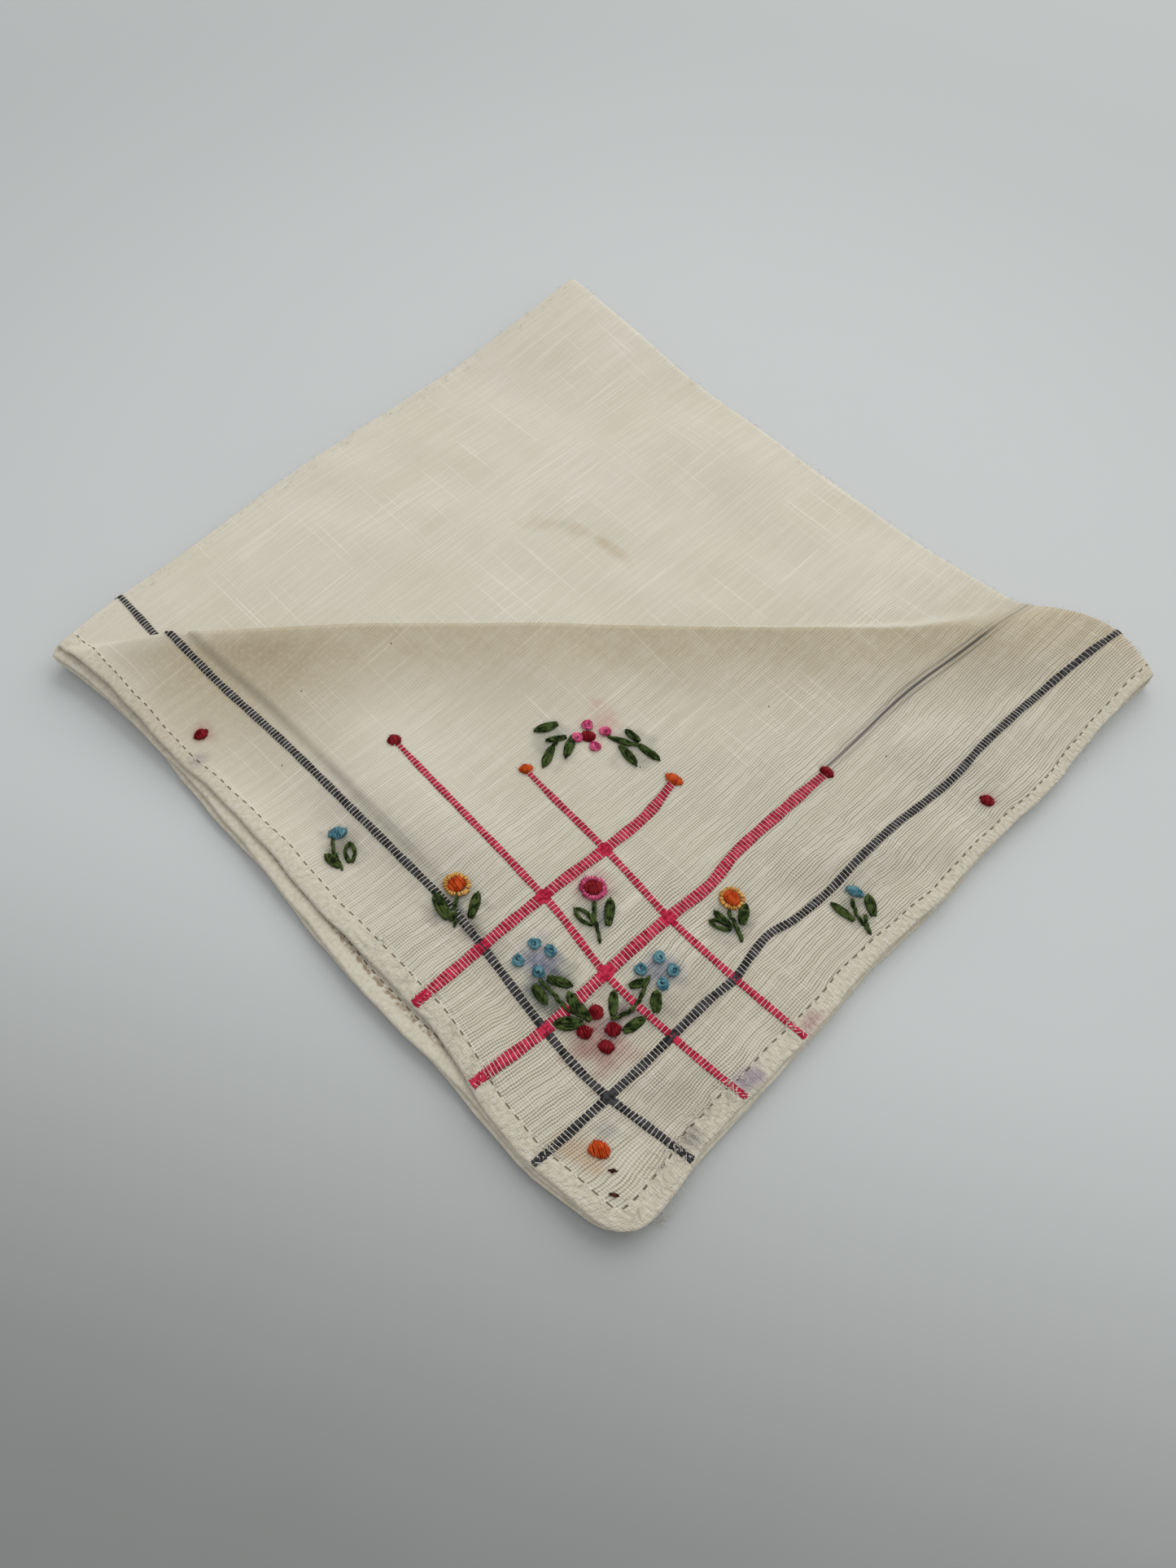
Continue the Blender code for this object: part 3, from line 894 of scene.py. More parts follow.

    # The vertex colour holds the dye marks and the painted shade in front of the crease and at the left
    # corner.
    tinted = add_node(tree, "ShaderNodeAttribute", attribute_name="dye_and_shade").outputs["Color"]
    colour = mixed(tree, ramp(tree, fluff, 0.2, 0.6, 0.7, 1.0), colour, tinted, "MULTIPLY")
    tree.links.new(colour, shader.inputs["Base Color"])
    crinkle = noise(tree, add_node(tree, "ShaderNodeCombineXYZ", {0: along, 1: from_edge}).outputs[0],
                    1.3, 5.0, (1.0, 0.55, 1.0)).outputs[0]
    fluffy = times(tree, hem, maths(tree, "MULTIPLY_ADD", crinkle, 4.5, fluff))
    softer = times(tree, threads["Height"], ramp(tree, hem, 0.0, 1.0, 1.0, 0.5))
    height = maths(tree, "MULTIPLY_ADD", hole, -1.2, plus(tree, fluffy, softer))
    bump = add_node(tree, "ShaderNodeBump", {"Height": height, "Distance": 0.00016,
                    "Strength": ramp(tree, toward_back, 60.0, 170.0, 0.8, 0.3)})
    tree.links.new(bump.outputs[0], shader.inputs["Normal"])
    rough = ramp(tree, threads["Height"], -0.8, 0.4, 0.95, 0.8)
    tree.links.new(rough, shader.inputs["Roughness"])
    shader.inputs["Specular IOR Level"].default_value = 0.25
    shader.inputs["Sheen Weight"].default_value = 0.12
    shader.inputs["Sheen Roughness"].default_value = 0.6
    return material


handkerchief.data.materials.append(finish_linen())
print("nodes in the linen:", len(handkerchief.data.materials[0].node_tree.nodes))

# %% [markdown]
# ## Thread
#
# All needlework is thread: strands that are twisted round each other, with a soft shine. A tube that
# tapers to a point at both ends is one stitch. Many stitches come from one grid: it is cut into
# strips, each strip is rolled round its path, and the seams and ends are merged so that each tube is
# closed. The paths are given on the cloth, and the shared function above carries them to the table.

# %% Thread
def cloth_top(p, q):
    """The upper face of the cloth at (p, q), and the direction straight out of it."""
    u, v = HALF - p, HALF - q
    step = 0.3
    run_p = laid(u - step, v) - laid(u + step, v)
    run_q = laid(u, v - step) - laid(u, v + step)
    out = np.cross(run_p, run_q)
    out = out / np.linalg.norm(out, axis=-1, keepdims=True)
    half = thickness_share(u, v) * THICKEST / 2 * MM
    return laid(u, v) + out * half[..., None], out


def tubes(name, centre, out, radius, counts, sides, flat, material):
    """One object of closed tubes round paths in metres. counts says how many points each path has."""
    along = np.empty_like(centre)
    length = np.zeros(len(centre))
    start = 0
    for end in np.cumsum(counts):
        along[start:end] = np.gradient(centre[start:end], axis=0)
        steps = np.linalg.norm(np.diff(centre[start:end], axis=0), axis=1)
        length[start + 1:end] = np.cumsum(steps) / MM
        start = end
    along = along / np.linalg.norm(along, axis=1, keepdims=True)
    aside = np.cross(along, out)
    aside = aside / np.linalg.norm(aside, axis=1, keepdims=True)
    above = np.cross(aside, along)
    turn = np.linspace(0, 2 * math.pi, sides + 1)
    wide = np.cos(turn)[None, :, None] * aside[:, None, :]
    tall = np.sin(turn)[None, :, None] * above[:, None, :] * flat
    rings = centre[:, None, :] + (wide + tall) * radius[:, None, None] * MM
    maps = np.stack(np.meshgrid(length, np.linspace(0, 1, sides + 1), indexing="ij"), axis=-1)
    cuts = np.cumsum(counts)[:-1] - 1
    mesh = mesh_of_points(name, rings, maps, cuts, "thread")
    bm = bmesh.new()
    bm.from_mesh(mesh)
    bmesh.ops.remove_doubles(bm, verts=bm.verts, dist=0.0005 * MM)
    bmesh.ops.recalc_face_normals(bm, faces=bm.faces)
    bm.to_mesh(mesh)
    bm.free()
    mesh.materials.append(material)
    piece = as_object(mesh)
    print(name, "stitches:", len(counts), "faces:", len(mesh.polygons))
    return piece


def sew(name, paths, material, sides=6, flat=1.0):
    """Sews paths on the top quarter. Each path has rows of p, q, lift and radius, in mm."""
    rows = np.concatenate(paths)
    top, out = cloth_top(rows[:, 0], rows[:, 1])
    centre = top + out * rows[:, 2:3] * MM
    counts = [len(path) for path in paths]
    tubes(name, centre, out, rows[:, 3], counts, sides, flat, material)


def on_quarter(places):
    """Turns places (right of the middle, away from the front corner) into (p, q)."""
    places = np.asarray(places, dtype=float)
    a, b = places[..., 0], places[..., 1]
    return np.stack([(a + b) / math.sqrt(2), (b - a) / math.sqrt(2)], axis=-1)


def place_of(p, q):
    """Turns (p, q) into a place: right of the middle, and away from the front corner."""
    return (p - q) / math.sqrt(2), (p + q) / math.sqrt(2)


print("thread is ready")

# %% [markdown]
# ## The look of thread
#
# A strand has painted shade in the grooves of its twist and painted highlights on the fibres that
# catch the light, with slow patches of lighter and darker colour at random. The groove is a wave that
# runs along the tube and round it at once, which makes a screw line. The UV map of each tube holds
# both: the length in millimetres, and the way round from 0 to 1.

# %% The look of thread
def make_twist():
    """A group that gives the grooves between twisted strands and their height."""
    tree, given, gives = new_group(
        "thread twist",
        [("Thread", VECTOR, (0, 0, 0)), ("Pitch", FLOAT, 0.6), ("Strands", FLOAT, 2.0)],
        [("Groove", FLOAT), ("Fibre", FLOAT), ("Height", FLOAT)],
    )
    part = add_node(tree, "ShaderNodeSeparateXYZ", {0: given["Thread"]}).outputs
    screw = plus(tree, maths(tree, "DIVIDE", part["X"], given["Pitch"]),
                  times(tree, part["Y"], given["Strands"]))
    wave = maths(tree, "SINE", times(tree, screw, 2 * math.pi))
    wave = maths(tree, "MULTIPLY_ADD", wave, 0.5, 0.5)
    place = add_node(tree, "ShaderNodeTexCoord").outputs["Object"]
    fibre = noise(tree, place, 5200.0, 2.0).outputs[0]
    slow = noise(tree, place, 900.0, 2.0).outputs[0]
    groove = times(tree, maths(tree, "POWER", wave, 2.0), 0.5)
    uneven = ramp(tree, slow, 0.32, 0.68, -0.25, 0.75)
    tree.links.new(plus(tree, uneven, groove, clamp=True), gives["Groove"])
    tree.links.new(fibre, gives["Fibre"])
    tree.links.new(maths(tree, "MULTIPLY_ADD", fibre, 0.5, times(tree, wave, -0.6)), gives["Height"])
    return tree


twist = make_twist()


def thread_finish(name, light, dark, pitch=0.6, strands=2.0, rough=0.75):
    """The material of one colour of thread."""
    material = bpy.data.materials.new(name)
    material.use_nodes = True
    tree = material.node_tree
    shader = tree.nodes["Principled BSDF"]
    thread = add_node(tree, "ShaderNodeUVMap", uv_map="thread").outputs[0]
    strand = use_group(tree, twist, Thread=thread, Pitch=pitch, Strands=strands)
    # Painted highlight and shade: the fibres are mixed a little toward pale grey, and the grooves toward
    # the dark colour.
    pale = mixed(tree, times(tree, strand["Fibre"], 0.04), srgb(*light), (0.8, 0.78, 0.74, 1))
    colour = mixed(tree, strand["Groove"], pale, srgb(*dark))
    tree.links.new(colour, shader.inputs["Base Color"])
    bump = add_node(tree, "ShaderNodeBump",
                    {"Height": strand["Height"], "Distance": 0.00008, "Strength": 0.6})
    tree.links.new(bump.outputs[0], shader.inputs["Normal"])
    tree.links.new(ramp(tree, strand["Fibre"], 0.3, 0.7, rough, rough + 0.2), shader.inputs["Roughness"])
    shader.inputs["Specular IOR Level"].default_value = 0.08
    return material


pink_floss = thread_finish("pink floss", (200, 42, 76), (150, 20, 48), 40.0, 7.0)
black_floss = thread_finish("black floss", (64, 62, 64), (32, 31, 32), 40.0, 5.0)
white_thread = thread_finish("white thread", (236, 230, 218), (206, 196, 180), 0.5)
green_floss = thread_finish("green floss", (64, 82, 28), (14, 27, 4), 2.6, 3.0)
blue_floss = thread_finish("blue floss", (98, 144, 154), (46, 90, 104), 1.4)
petal_floss = thread_finish("pink petal floss", (222, 98, 138), (156, 42, 82), 1.2)
red_floss = thread_finish("dark red floss", (134, 0, 20), (90, 0, 10), 9.0, 3.0)
orange_floss = thread_finish("orange floss", (200, 76, 10), (148, 42, 2), 9.0, 3.0)
yellow_floss = thread_finish("yellow floss", (224, 172, 90), (176, 116, 42), 2.0)
brown_floss = thread_finish("brown floss", (78, 34, 16), (42, 14, 8), 0.8)
print("thread colours:", 10)

# %% [markdown]
# ## The ladder bands
#
# In a drawn-thread band the linen's own threads are pulled out in one direction, and coloured strands
# are laid in their place. The cross threads stay and hold the strands down, so a band looks like a
# ladder: floats of colour with thin white rungs. Each band is a flat tube that sinks at each rung,
# and each rung is a thin tube that arches over it. The bands wander as the pulled threads did.

# %% The ladder bands
# name, side it runs along, half width, places (distance along, distance from that side)
BANDS = (
    ("black, left", "q", 0.66, ((0, 17.2), (16, 16.0), (30, 15.5), (45, 16.3), (51, 16.9), (68, 16.7),
                               (85, 16.3), (100, 16.0), (118, 15.1), (131, 14.7), (150, 15.0))),
    ("black, right", "p", 0.68, ((0, 14.5), (16, 15.8), (30, 15.8), (39, 15.3), (44, 14.6), (49, 15.2),
                                 (54, 15.6), (59, 14.4), (66, 13.9), (76, 14.4), (87, 14.5), (96, 13.7),
                                 (104, 13.4), (112, 13.8), (126, 12.9), (135, 12.1), (146, 10.3),
                                 (150, 9.7))),
    ("pink, long left", "q", 0.62, ((0, 30.6), (16, 30.2), (30, 29.5), (45, 30.5), (66, 31.0), (85, 31.7))),
    ("pink, short left", "q", 0.62, ((0, 44.5), (14.5, 44.0), (29, 43.8), (45, 44.9), (65, 45.8))),
    ("pink, long right", "p", 0.98, ((0, 29.2), (16, 29.5), (30, 29.9), (44, 29.1), (54, 28.5), (61, 29.4),
                                     (75, 29.2), (87, 29.0))),
    ("pink, short right", "p", 0.98, ((0, 44.5), (16, 45.3), (30, 45.4), (45, 44.8), (56, 44.8),
                                      (65, 46.4))),
)
# where two bands cross: place (p, q), half size, colour
CROSSINGS = (
    ("black on black", 16.0, 15.8, 0.75, "black"),
    ("long left on the right black band", 30.2, 15.7, 0.7, "black"),
    ("short left on the right black band", 44.0, 14.6, 0.7, "black"),
    ("left black on the short right band", 16.2, 45.3, 0.85, "black"),
    ("long right on the left black band", 15.6, 29.6, 1.05, "pink"),
    ("long on long", 29.6, 29.9, 1.0, "pink"),
    ("long left on short right", 30.5, 45.4, 0.95, "pink"),
    ("short left on long right", 43.9, 29.1, 0.95, "pink"),
    ("short on short", 44.9, 44.8, 0.9, "pink"),
)
RUNG_RADIUS = 0.062
RUNG_PLACES = np.array([-1, -0.88, -0.6, -0.2, 0.2, 0.6, 0.88, 1])
RUNG_LIFTS = np.array([-0.06, 0.12, 0.2, 0.22, 0.22, 0.2, 0.12, -0.06])
RUNG_SHARES = np.array([0, 0.8, 1, 1, 1, 1, 0.8, 0])
HEM_CLEAR = 3.9


def through(places, at):
    """A smooth line through a short table of (distance, value)."""
    along, values = (np.array(column, dtype=float) for column in zip(*places))
    slopes = np.gradient(values, along)
    index = np.clip(np.searchsorted(along, at) - 1, 0, len(along) - 2)
    width = along[index + 1] - along[index]
    t = (at - along[index]) / width
    return (values[index] * (1 + 2 * t) * (1 - t) ** 2 + values[index + 1] * t * t * (3 - 2 * t)
            + width * (slopes[index] * t * (1 - t) ** 2 - slopes[index + 1] * t * t * (1 - t)))


def band_rows(side, places, along, lift, radius):
    """Rows for a band's path at distances along it."""
    across = through(places, along)
    p, q = (across, along) if side == "q" else (along, across)
    return np.stack([p, q, np.broadcast_to(lift, p.shape), np.broadcast_to(radius, p.shape)], axis=1)


def ladder(side, half_width, places):
    """The coloured strip of one band, its short ends on the hem, and its white rungs."""
    start, end = 0.35, places[-1][0]
    count = int((end - start) / RUNG_PITCH)
    rungs = np.linspace(start, end, count + 1) + rng.uniform(-0.09, 0.09, count + 1)
    quarters = np.interp(np.arange(count * 4 + 1) / 4, np.arange(count + 1), rungs)
    phase = np.cos(np.arange(count * 4 + 1) * math.pi / 2)
    wide = half_width * (1 - 0.08 * phase) * (1 + 0.06 * np.sin(quarters * 0.9))
    wide = wide * (1 - 0.3 * smooth((quarters - end + 9) / 9))
    wide = np.where(quarters < HEM_CLEAR, half_width * rng.uniform(0.75, 1.05, len(quarters)), wide)
    strip = band_rows(side, places, quarters, 0.07 - 0.05 * phase, wide)
    strip[0, 3] = strip[-1, 3] = 0
    white = []
    for at in np.linspace(0.9, HEM_CLEAR, 5):
        share = np.linspace(-1, 1, 6)
        slant = rng.choice((-1, 1)) * rng.uniform(0.5, 1.1)
        line = band_rows(side, places, at + share * slant, 0.12 - 0.16 * share**2, 0.07 * (1 - share**6))
        line[:, 0 if side == "q" else 1] += share * half_width * 1.5
        white.append(line)
    for at in rungs[rungs > HEM_CLEAR][:-1]:
        p, q = band_rows(side, places, np.array([at]), 0, 0)[0, :2]
        if any(math.hypot(p - c[1], q - c[2]) < c[3] + 0.25 for c in CROSSINGS):
            continue
        reach = RUNG_PLACES * (half_width + rng.uniform(0.15, 0.35))
        slant = rng.uniform(-0.06, 0.06)
        lift = RUNG_LIFTS
        thick = RUNG_RADIUS * rng.uniform(0.8, 1.15) * RUNG_SHARES
        if side == "q":
            white.append(np.stack([p + reach, q + reach * slant, lift, thick], axis=1))
        else:
            white.append(np.stack([p + reach * slant, q + reach, lift, thick], axis=1))
    return [strip], white


strips = {"black": [], "pink": []}
rungs = []
for name, side, half_width, places in BANDS:
    colour_paths, white_paths = ladder(side, half_width, places)
    strips["black" if name.startswith("black") else "pink"] += colour_paths
    rungs += white_paths
sew("pink_bands", strips["pink"], pink_floss, sides=12, flat=0.15)
sew("black_bands", strips["black"], black_floss, sides=12, flat=0.18)
sew("white_rungs", rungs, white_thread, sides=5)

# %% [markdown]
# ## The stitches
#
# The flowers use few stitches. A straight stitch arches over the cloth. Satin stitch is many of them
# side by side and fills a dot. A knot is thread wound round itself. A leaf is one loop with one or two
# straight stitches inside, and a stem is short stitches that overlap. The words below are functions
# that give paths, so a flower can be written as a short list.

# %% The stitches
def stitch(start, end, radius, bulge=0.28, count=7):
    """One straight stitch from place to place, a little crooked."""
    share = np.linspace(0, 1, count)
    arch = np.sin(math.pi * share)
    line = on_quarter(np.outer(1 - share, start) + np.outer(share, end))
    line = line + arch[:, None] * rng.uniform(-0.12, 0.12, 2)
    thick = radius * arch ** 0.4 * rng.uniform(0.85, 1.12)
    thick[0] = thick[-1] = 0
    return np.column_stack([line, bulge * arch ** 0.6 - 0.05, thick])


def satin(centre, reach, threads, angle=0.0, bulge=0.55):
    """An oval filled with straight stitches side by side. reach is its half width and half height."""
    paths = []
    turn = math.radians(angle)
    for offset in np.linspace(-1, 1, threads) * (1 - 0.6 / threads):
        half = reach[1] * math.sqrt(1 - offset**2) * rng.uniform(0.92, 1.06)
        ends = []
        for way in (-1, 1):
            across, along = offset * reach[0], way * half + rng.uniform(-0.05, 0.05)
            ends.append((centre[0] + across * math.cos(turn) - along * math.sin(turn),
                         centre[1] + across * math.sin(turn) + along * math.cos(turn)))
        tall = 0.16 + (bulge - 0.16) * (1 - offset**2) * rng.uniform(0.8, 1.05)
        paths.append(stitch(ends[0], ends[1], reach[0] / threads * 1.9, tall, 9))
    return paths


def knot(centre, across, radius=0.32, turns=1.9):
    """Thread wound round the needle and drawn down, as a low spiral."""
    share = np.linspace(0, 1, 20)
    angle = rng.uniform(0, 6.3) + share * turns * 2 * math.pi
    uneven = 1 + 0.1 * np.sin(angle * 3 + rng.uniform(0, 6))
    reach = (across / 2 - radius) * (1 - 0.85 * share**1.6) * uneven
    ring = np.column_stack([centre[0] + reach * np.cos(angle), centre[1] + reach * np.sin(angle)])
    thick = np.full(20, radius)
    thick[[0, 1, -2, -1]] = (0, radius * 0.8, radius * 0.8, 0)
    return [np.column_stack([on_quarter(ring), 0.16 + 0.34 * share, thick])]


def leaf(base, tip, width=1.3, radius=0.36, filled=2):
    """A loop held at its tip, with straight stitches inside unless filled is 0."""
    base, tip = np.array(base), np.array(tip)
    run = tip - base
    side = np.array([-run[1], run[0]]) / np.linalg.norm(run)
    turn = np.linspace(0, 2 * math.pi, 17)
    share = (1 - np.cos(turn)) / 2
    spread = np.sign(np.sin(turn)) * np.abs(np.sin(turn)) ** 1.3 * (width / 2 - radius * 0.7)
    spread = spread * (0.8 + 0.4 * share) * rng.uniform(0.9, 1.1, 17)
    line = base + share[:, None] * run + spread[:, None] * side
    thick = np.full(17, radius)
    thick[[0, -1]] = 0
    thick = thick * rng.uniform(0.85, 1.1, 17)
    paths = [np.column_stack([on_quarter(line), 0.16 + 0.1 * share, thick])]
    paths.append(stitch(tip - run * 0.1, tip + run * 0.13, radius * 0.7, 0.4))
    for number in range(filled):
        aside = side * width * (0.16 if number else -0.1)
        paths.append(stitch(base + run * 0.06 + aside * 0.5, tip - run * 0.08 + aside, radius * 0.95, 0.42))
    return paths


def stem(*places, radius=0.36):
    """Short stitches that overlap along a line."""
    paths = []
    for start, end in zip(places[:-1], places[1:]):
        start, end = np.array(start), np.array(end)
        count = max(1, round(math.dist(start, end) / 1.7))
        step = (end - start) / count
        aside = np.array([-step[1], step[0]]) * 0.09
        for number in range(count):
            near = start + step * (number - 0.2)
            paths.append(stitch(near + aside, near + step * 1.4 - aside, radius, 0.3))
    return paths


def petals(centre, inner, outer, count=30):
    """A ring of short stitches that point away from the centre."""
    paths = []
    for number in range(count):
        angle = (number + rng.uniform(-0.2, 0.2)) * 2 * math.pi / count
        way = np.array([math.cos(angle), math.sin(angle) * 0.92])
        far = outer * rng.uniform(0.96, 1.04)
        paths.append(stitch(centre + way * inner, centre + way * far, 0.23, 0.3))
    return paths


def fuzz(paths, each=3, radius=0.035):
    """Short loose fibres that stand out from stitches."""
    fibres = []
    for path in paths:
        for _ in range(each):
            row = path[rng.integers(1, len(path) - 1)]
            share = np.linspace(0, 1, 5)
            turn = rng.uniform(0, 2 * math.pi)
            reach = row[3] * 0.6 + share * rng.uniform(0.3, 0.75)
            bend = 0.3 * share**2 * rng.uniform(-1, 1)
            line = row[:2] + np.outer(reach, (math.cos(turn), math.sin(turn)))
            line = line + np.outer(bend, (-math.sin(turn), math.cos(turn)))
            lift = np.maximum(row[2], 0.1) + share * rng.uniform(-0.1, 0.35)
            fibres.append(np.column_stack([line, lift, radius * np.array([0, 1, 1, 0.8, 0])]))
    return fibres


def curl(p, q, length, radius=0.045, count=9):
    """A loose curly thread that lies on the cloth."""
    turns = rng.uniform(0, 2 * math.pi) + np.cumsum(rng.uniform(-0.9, 0.9, count))
    steps = np.column_stack([np.cos(turns), np.sin(turns)]) * length / count
    thick = radius * np.ones(count)
    thick[[0, -1]] = 0
    line = np.array((p, q)) + np.cumsum(steps, axis=0)
    return np.column_stack([line, rng.uniform(0.06, 0.3, count), thick])


print("a knot has", len(knot((0, 50), 2.0)[0]), "points")

# %% [markdown]
# ## The flowers
#
# Each list below is one colour of thread, because that is how it is sewn: all the green at once, then
# the blue, and so on. Places are in millimetres: to the right of the line through the front corner,
# and away from that corner.

# %% The flowers
green = []
for base, tip, width, filled in (
    ((-45.4, 56.4), (-47.9, 58.4), 1.6, 2), ((-43.6, 57.4), (-44.1, 61.0), 2.0, 0),
    ((42.2, 52.4), (39.0, 55.5), 1.3, 2), ((45.4, 53.4), (45.1, 57.4), 1.6, 2),
    ((-26.4, 47.8), (-28.7, 52.2), 2.0, 0), ((-25.6, 47.6), (-28.0, 51.2), 1.2, 1),
    ((-22.7, 48.4), (-21.6, 53.1), 1.5, 2), ((20.9, 50.0), (17.5, 51.3), 1.7, 0),
    ((22.8, 51.0), (23.7, 54.5), 1.6, 2), ((20.9, 50.4), (18.4, 53.0), 1.2, 1),
    ((-2.2, 49.4), (-5.1, 51.6), 1.9, 0), ((0.2, 49.4), (0.7, 53.7), 1.5, 2),
    ((-7.8, 88.7), (-11.8, 86.8), 1.5, 2), ((-6.2, 86.1), (-9.7, 85.0), 1.0, 1),
    ((-8.8, 83.8), (-10.4, 79.6), 1.5, 2), ((-5.0, 86.4), (-6.4, 82.0), 1.5, 2),
    ((7.2, 86.2), (4.9, 88.2), 1.3, 0), ((3.5, 85.0), (6.1, 81.2), 1.5, 2),
    ((6.9, 85.4), (10.3, 82.6), 1.4, 2), ((2.2, 86.4), (5.6, 85.4), 1.2, 1),
    ((-9.7, 39.8), (-6.0, 39.3), 1.4, 2), ((-11.9, 38.4), (-9.9, 36.0), 1.5, 2),
    ((-4.2, 34.9), (-6.1, 38.0), 1.7, 2), ((-2.6, 34.4), (-5.0, 36.6), 1.4, 1),
    ((-3.8, 33.9), (-8.2, 33.0), 1.9, 2), ((3.6, 40.2), (6.1, 41.1), 1.2, 1),
    ((0.9, 35.4), (1.0, 39.1), 1.3, 2), ((7.7, 36.2), (7.9, 39.4), 1.6, 2),
    ((2.5, 33.1), (5.7, 35.2), 1.5, 2),
):
    green += leaf(base, tip, width * 1.08, filled=filled)
for line in (
    ((-47.4, 62.0), (-46.6, 59.0), (-44.8, 56.0)), ((42.4, 56.8), (42.8, 53.4), (44.7, 50.0)),
    ((44.0, 53.6), (44.3, 50.6)), ((-25.2, 52.4), (-25.3, 49.6), (-25.2, 46.6)),
    ((20.8, 53.6), (21.6, 50.6), (22.5, 47.8)), ((-2.2, 53.2), (-1.9, 50.0), (-1.0, 46.8)),
    ((-7.4, 86.0), (-8.8, 83.8)), ((1.4, 86.7), (4.0, 85.8), (7.2, 85.2)),
    ((-10.9, 39.2), (-8.3, 37.5), (-6.6, 35.5), (-4.0, 35.0)),
    ((6.7, 41.9), (5.3, 38.2), (3.5, 36.2), (0.7, 35.0)),
):
    green += stem(*line)
sew("green_leaves", green, green_floss)
sew("green_fibres", fuzz(green, 4), green_floss, sides=3)

blue = satin((-46.5, 63.0), (1.5, 1.3), 7, 20) + satin((43.0, 58.4), (1.3, 1.1), 6, -30)
for centre in ((-11.9, 44.9), (-9.2, 44.2), (-14.5, 41.9), (-11.2, 40.5), (8.6, 44.8), (10.8, 42.8),
               (5.5, 43.0), (8.9, 40.7)):
    blue += knot(centre, 2.4)
sew("blue_knots", blue, blue_floss)
sew("blue_fibres", fuzz(blue, 14), blue_floss, sides=3)

pink_petals = petals((-2.2, 55.7), 1.5, 2.4)
for centre in ((-2.3, 88.8), (0.9, 87.7), (-4.3, 86.0), (-1.0, 84.4)):
    pink_petals += knot(centre, 2.5)
sew("pink_petals", pink_petals, petal_floss)
sew("pink_fibres", fuzz(pink_petals, 6), petal_floss, sides=3)
yellow = petals((-25.2, 54.5), 1.5, 2.4) + petals((21.5, 55.8), 1.5, 2.35)
sew("yellow_petals", yellow, yellow_floss)
sew("yellow_fibres", fuzz(yellow, 3), yellow_floss, sides=3)

red = satin((-2.2, 55.8), (1.6, 1.6), 11, 15) + satin((-2.3, 86.5), (1.35, 1.4), 10, 5)
for centre in ((-1.8, 35.8), (-3.6, 32.5), (0.9, 33.4), (-0.2, 30.6)):
    red += satin(centre, (1.2, 1.3), 10, rng.uniform(-40, 40))
for p, q in ((6.2, 110.0), (103.7, 6.3), (31.7, 85.1), (86.7, 29.0)):
    red += satin(place_of(p, q), (1.25, 1.3), 10, rng.uniform(-50, 50))
sew("dark_red_dots", red, red_floss)
sew("red_fibres", fuzz(red, 3), red_floss, sides=3)

orange = satin((-25.2, 54.6), (1.65, 1.55), 10, 40) + satin((21.5, 55.9), (1.6, 1.5), 10, -50)
orange += satin((-13.7, 78.6), (1.1, 1.1), 8, 20) + satin((12.9, 78.6), (1.5, 1.2), 9, -30)
orange += satin((-1.1, 13.9), (1.3, 1.7), 9, 8)
sew("orange_dots", orange, orange_floss)
sew("orange_fibres", fuzz(orange, 5), orange_floss, sides=3)
specks = []
for middle in (np.array((0.2, 11.0)), np.array((-0.2, 7.6))):
    for turn in rng.uniform(0, math.pi, 4):
        way = np.array((math.cos(turn), 0.6 * math.sin(turn))) * rng.uniform(0.45, 0.75)
        specks.append(stitch(middle - way, middle + way, 0.17, 0.26))
for p, q in ((44.8, 100.3), (25.7, 104.6), (12.8, 94.7), (90.2, 44.8), (98.0, 24.0), (62.0, 52.0)):
    start = np.array(place_of(p, q))
    specks.append(stitch(start, start + rng.uniform(-0.5, 0.5, 2), 0.1, 0.1))
sew("brown_specks", specks, brown_floss)

pads = {"black": [], "pink": []}
for _, p, q, size, shade in CROSSINGS:
    pads[shade] += satin(place_of(p, q), (size * 0.72, size * 0.76), 8, -45, 0.14)
sew("pink_crossings", pads["pink"], pink_floss)
sew("black_crossings", pads["black"], black_floss)

# %% [markdown]
# ## The hem's stitches and loose fibres
#
# The hem is held by small even stitches in cream thread. Each one sinks into a hole at both ends. A
# few fibres have come loose along the hems and the folds, and at the band ends and the front corner the
# cloth frays into curled threads.

# %% The hem's stitches
hem_stitches = []
for at in np.arange(STITCH_LINE, HALF - 1, STITCH_PITCH):
    for along_p in (True, False):
        share = np.linspace(-1, 1, 6)
        run = at + share * (STITCH_PITCH * 0.3) + rng.uniform(-0.1, 0.1)
        side = "right" if along_p else "left"
        across = STITCH_LINE + share * 0.14 + rng.uniform(-0.08, 0.08) - narrower(side, at)
        lift = 0.08 * np.cos(share * math.pi / 2) - 0.06
        thick = 0.08 * np.array([0, 0.8, 1, 1, 0.8, 0])
        columns = [run, across] if along_p else [across, run]
        hem_stitches.append(np.column_stack(columns + [lift, thick]))
sew("hem_stitches", hem_stitches, white_thread, sides=5)

# %% Curled threads
curls = []
for _, side, _, places in BANDS:
    for _ in range(8):
        at = (places[0][1] + rng.uniform(-1.3, 1.3), rng.uniform(0.9, 4.6))
        curls.append(curl(*(at if side == "q" else at[::-1]), rng.uniform(1.6, 3.2)))
for _ in range(70):
    curls.append(curl(rng.uniform(3, 33), rng.uniform(0.8, 4.8), rng.uniform(1.5, 3.0)))
for _ in range(40):
    curls.append(curl(rng.uniform(0.8, 4.6), rng.uniform(3, 60), rng.uniform(1.2, 2.4)))
sew("curled_threads", curls, white_thread, sides=4)

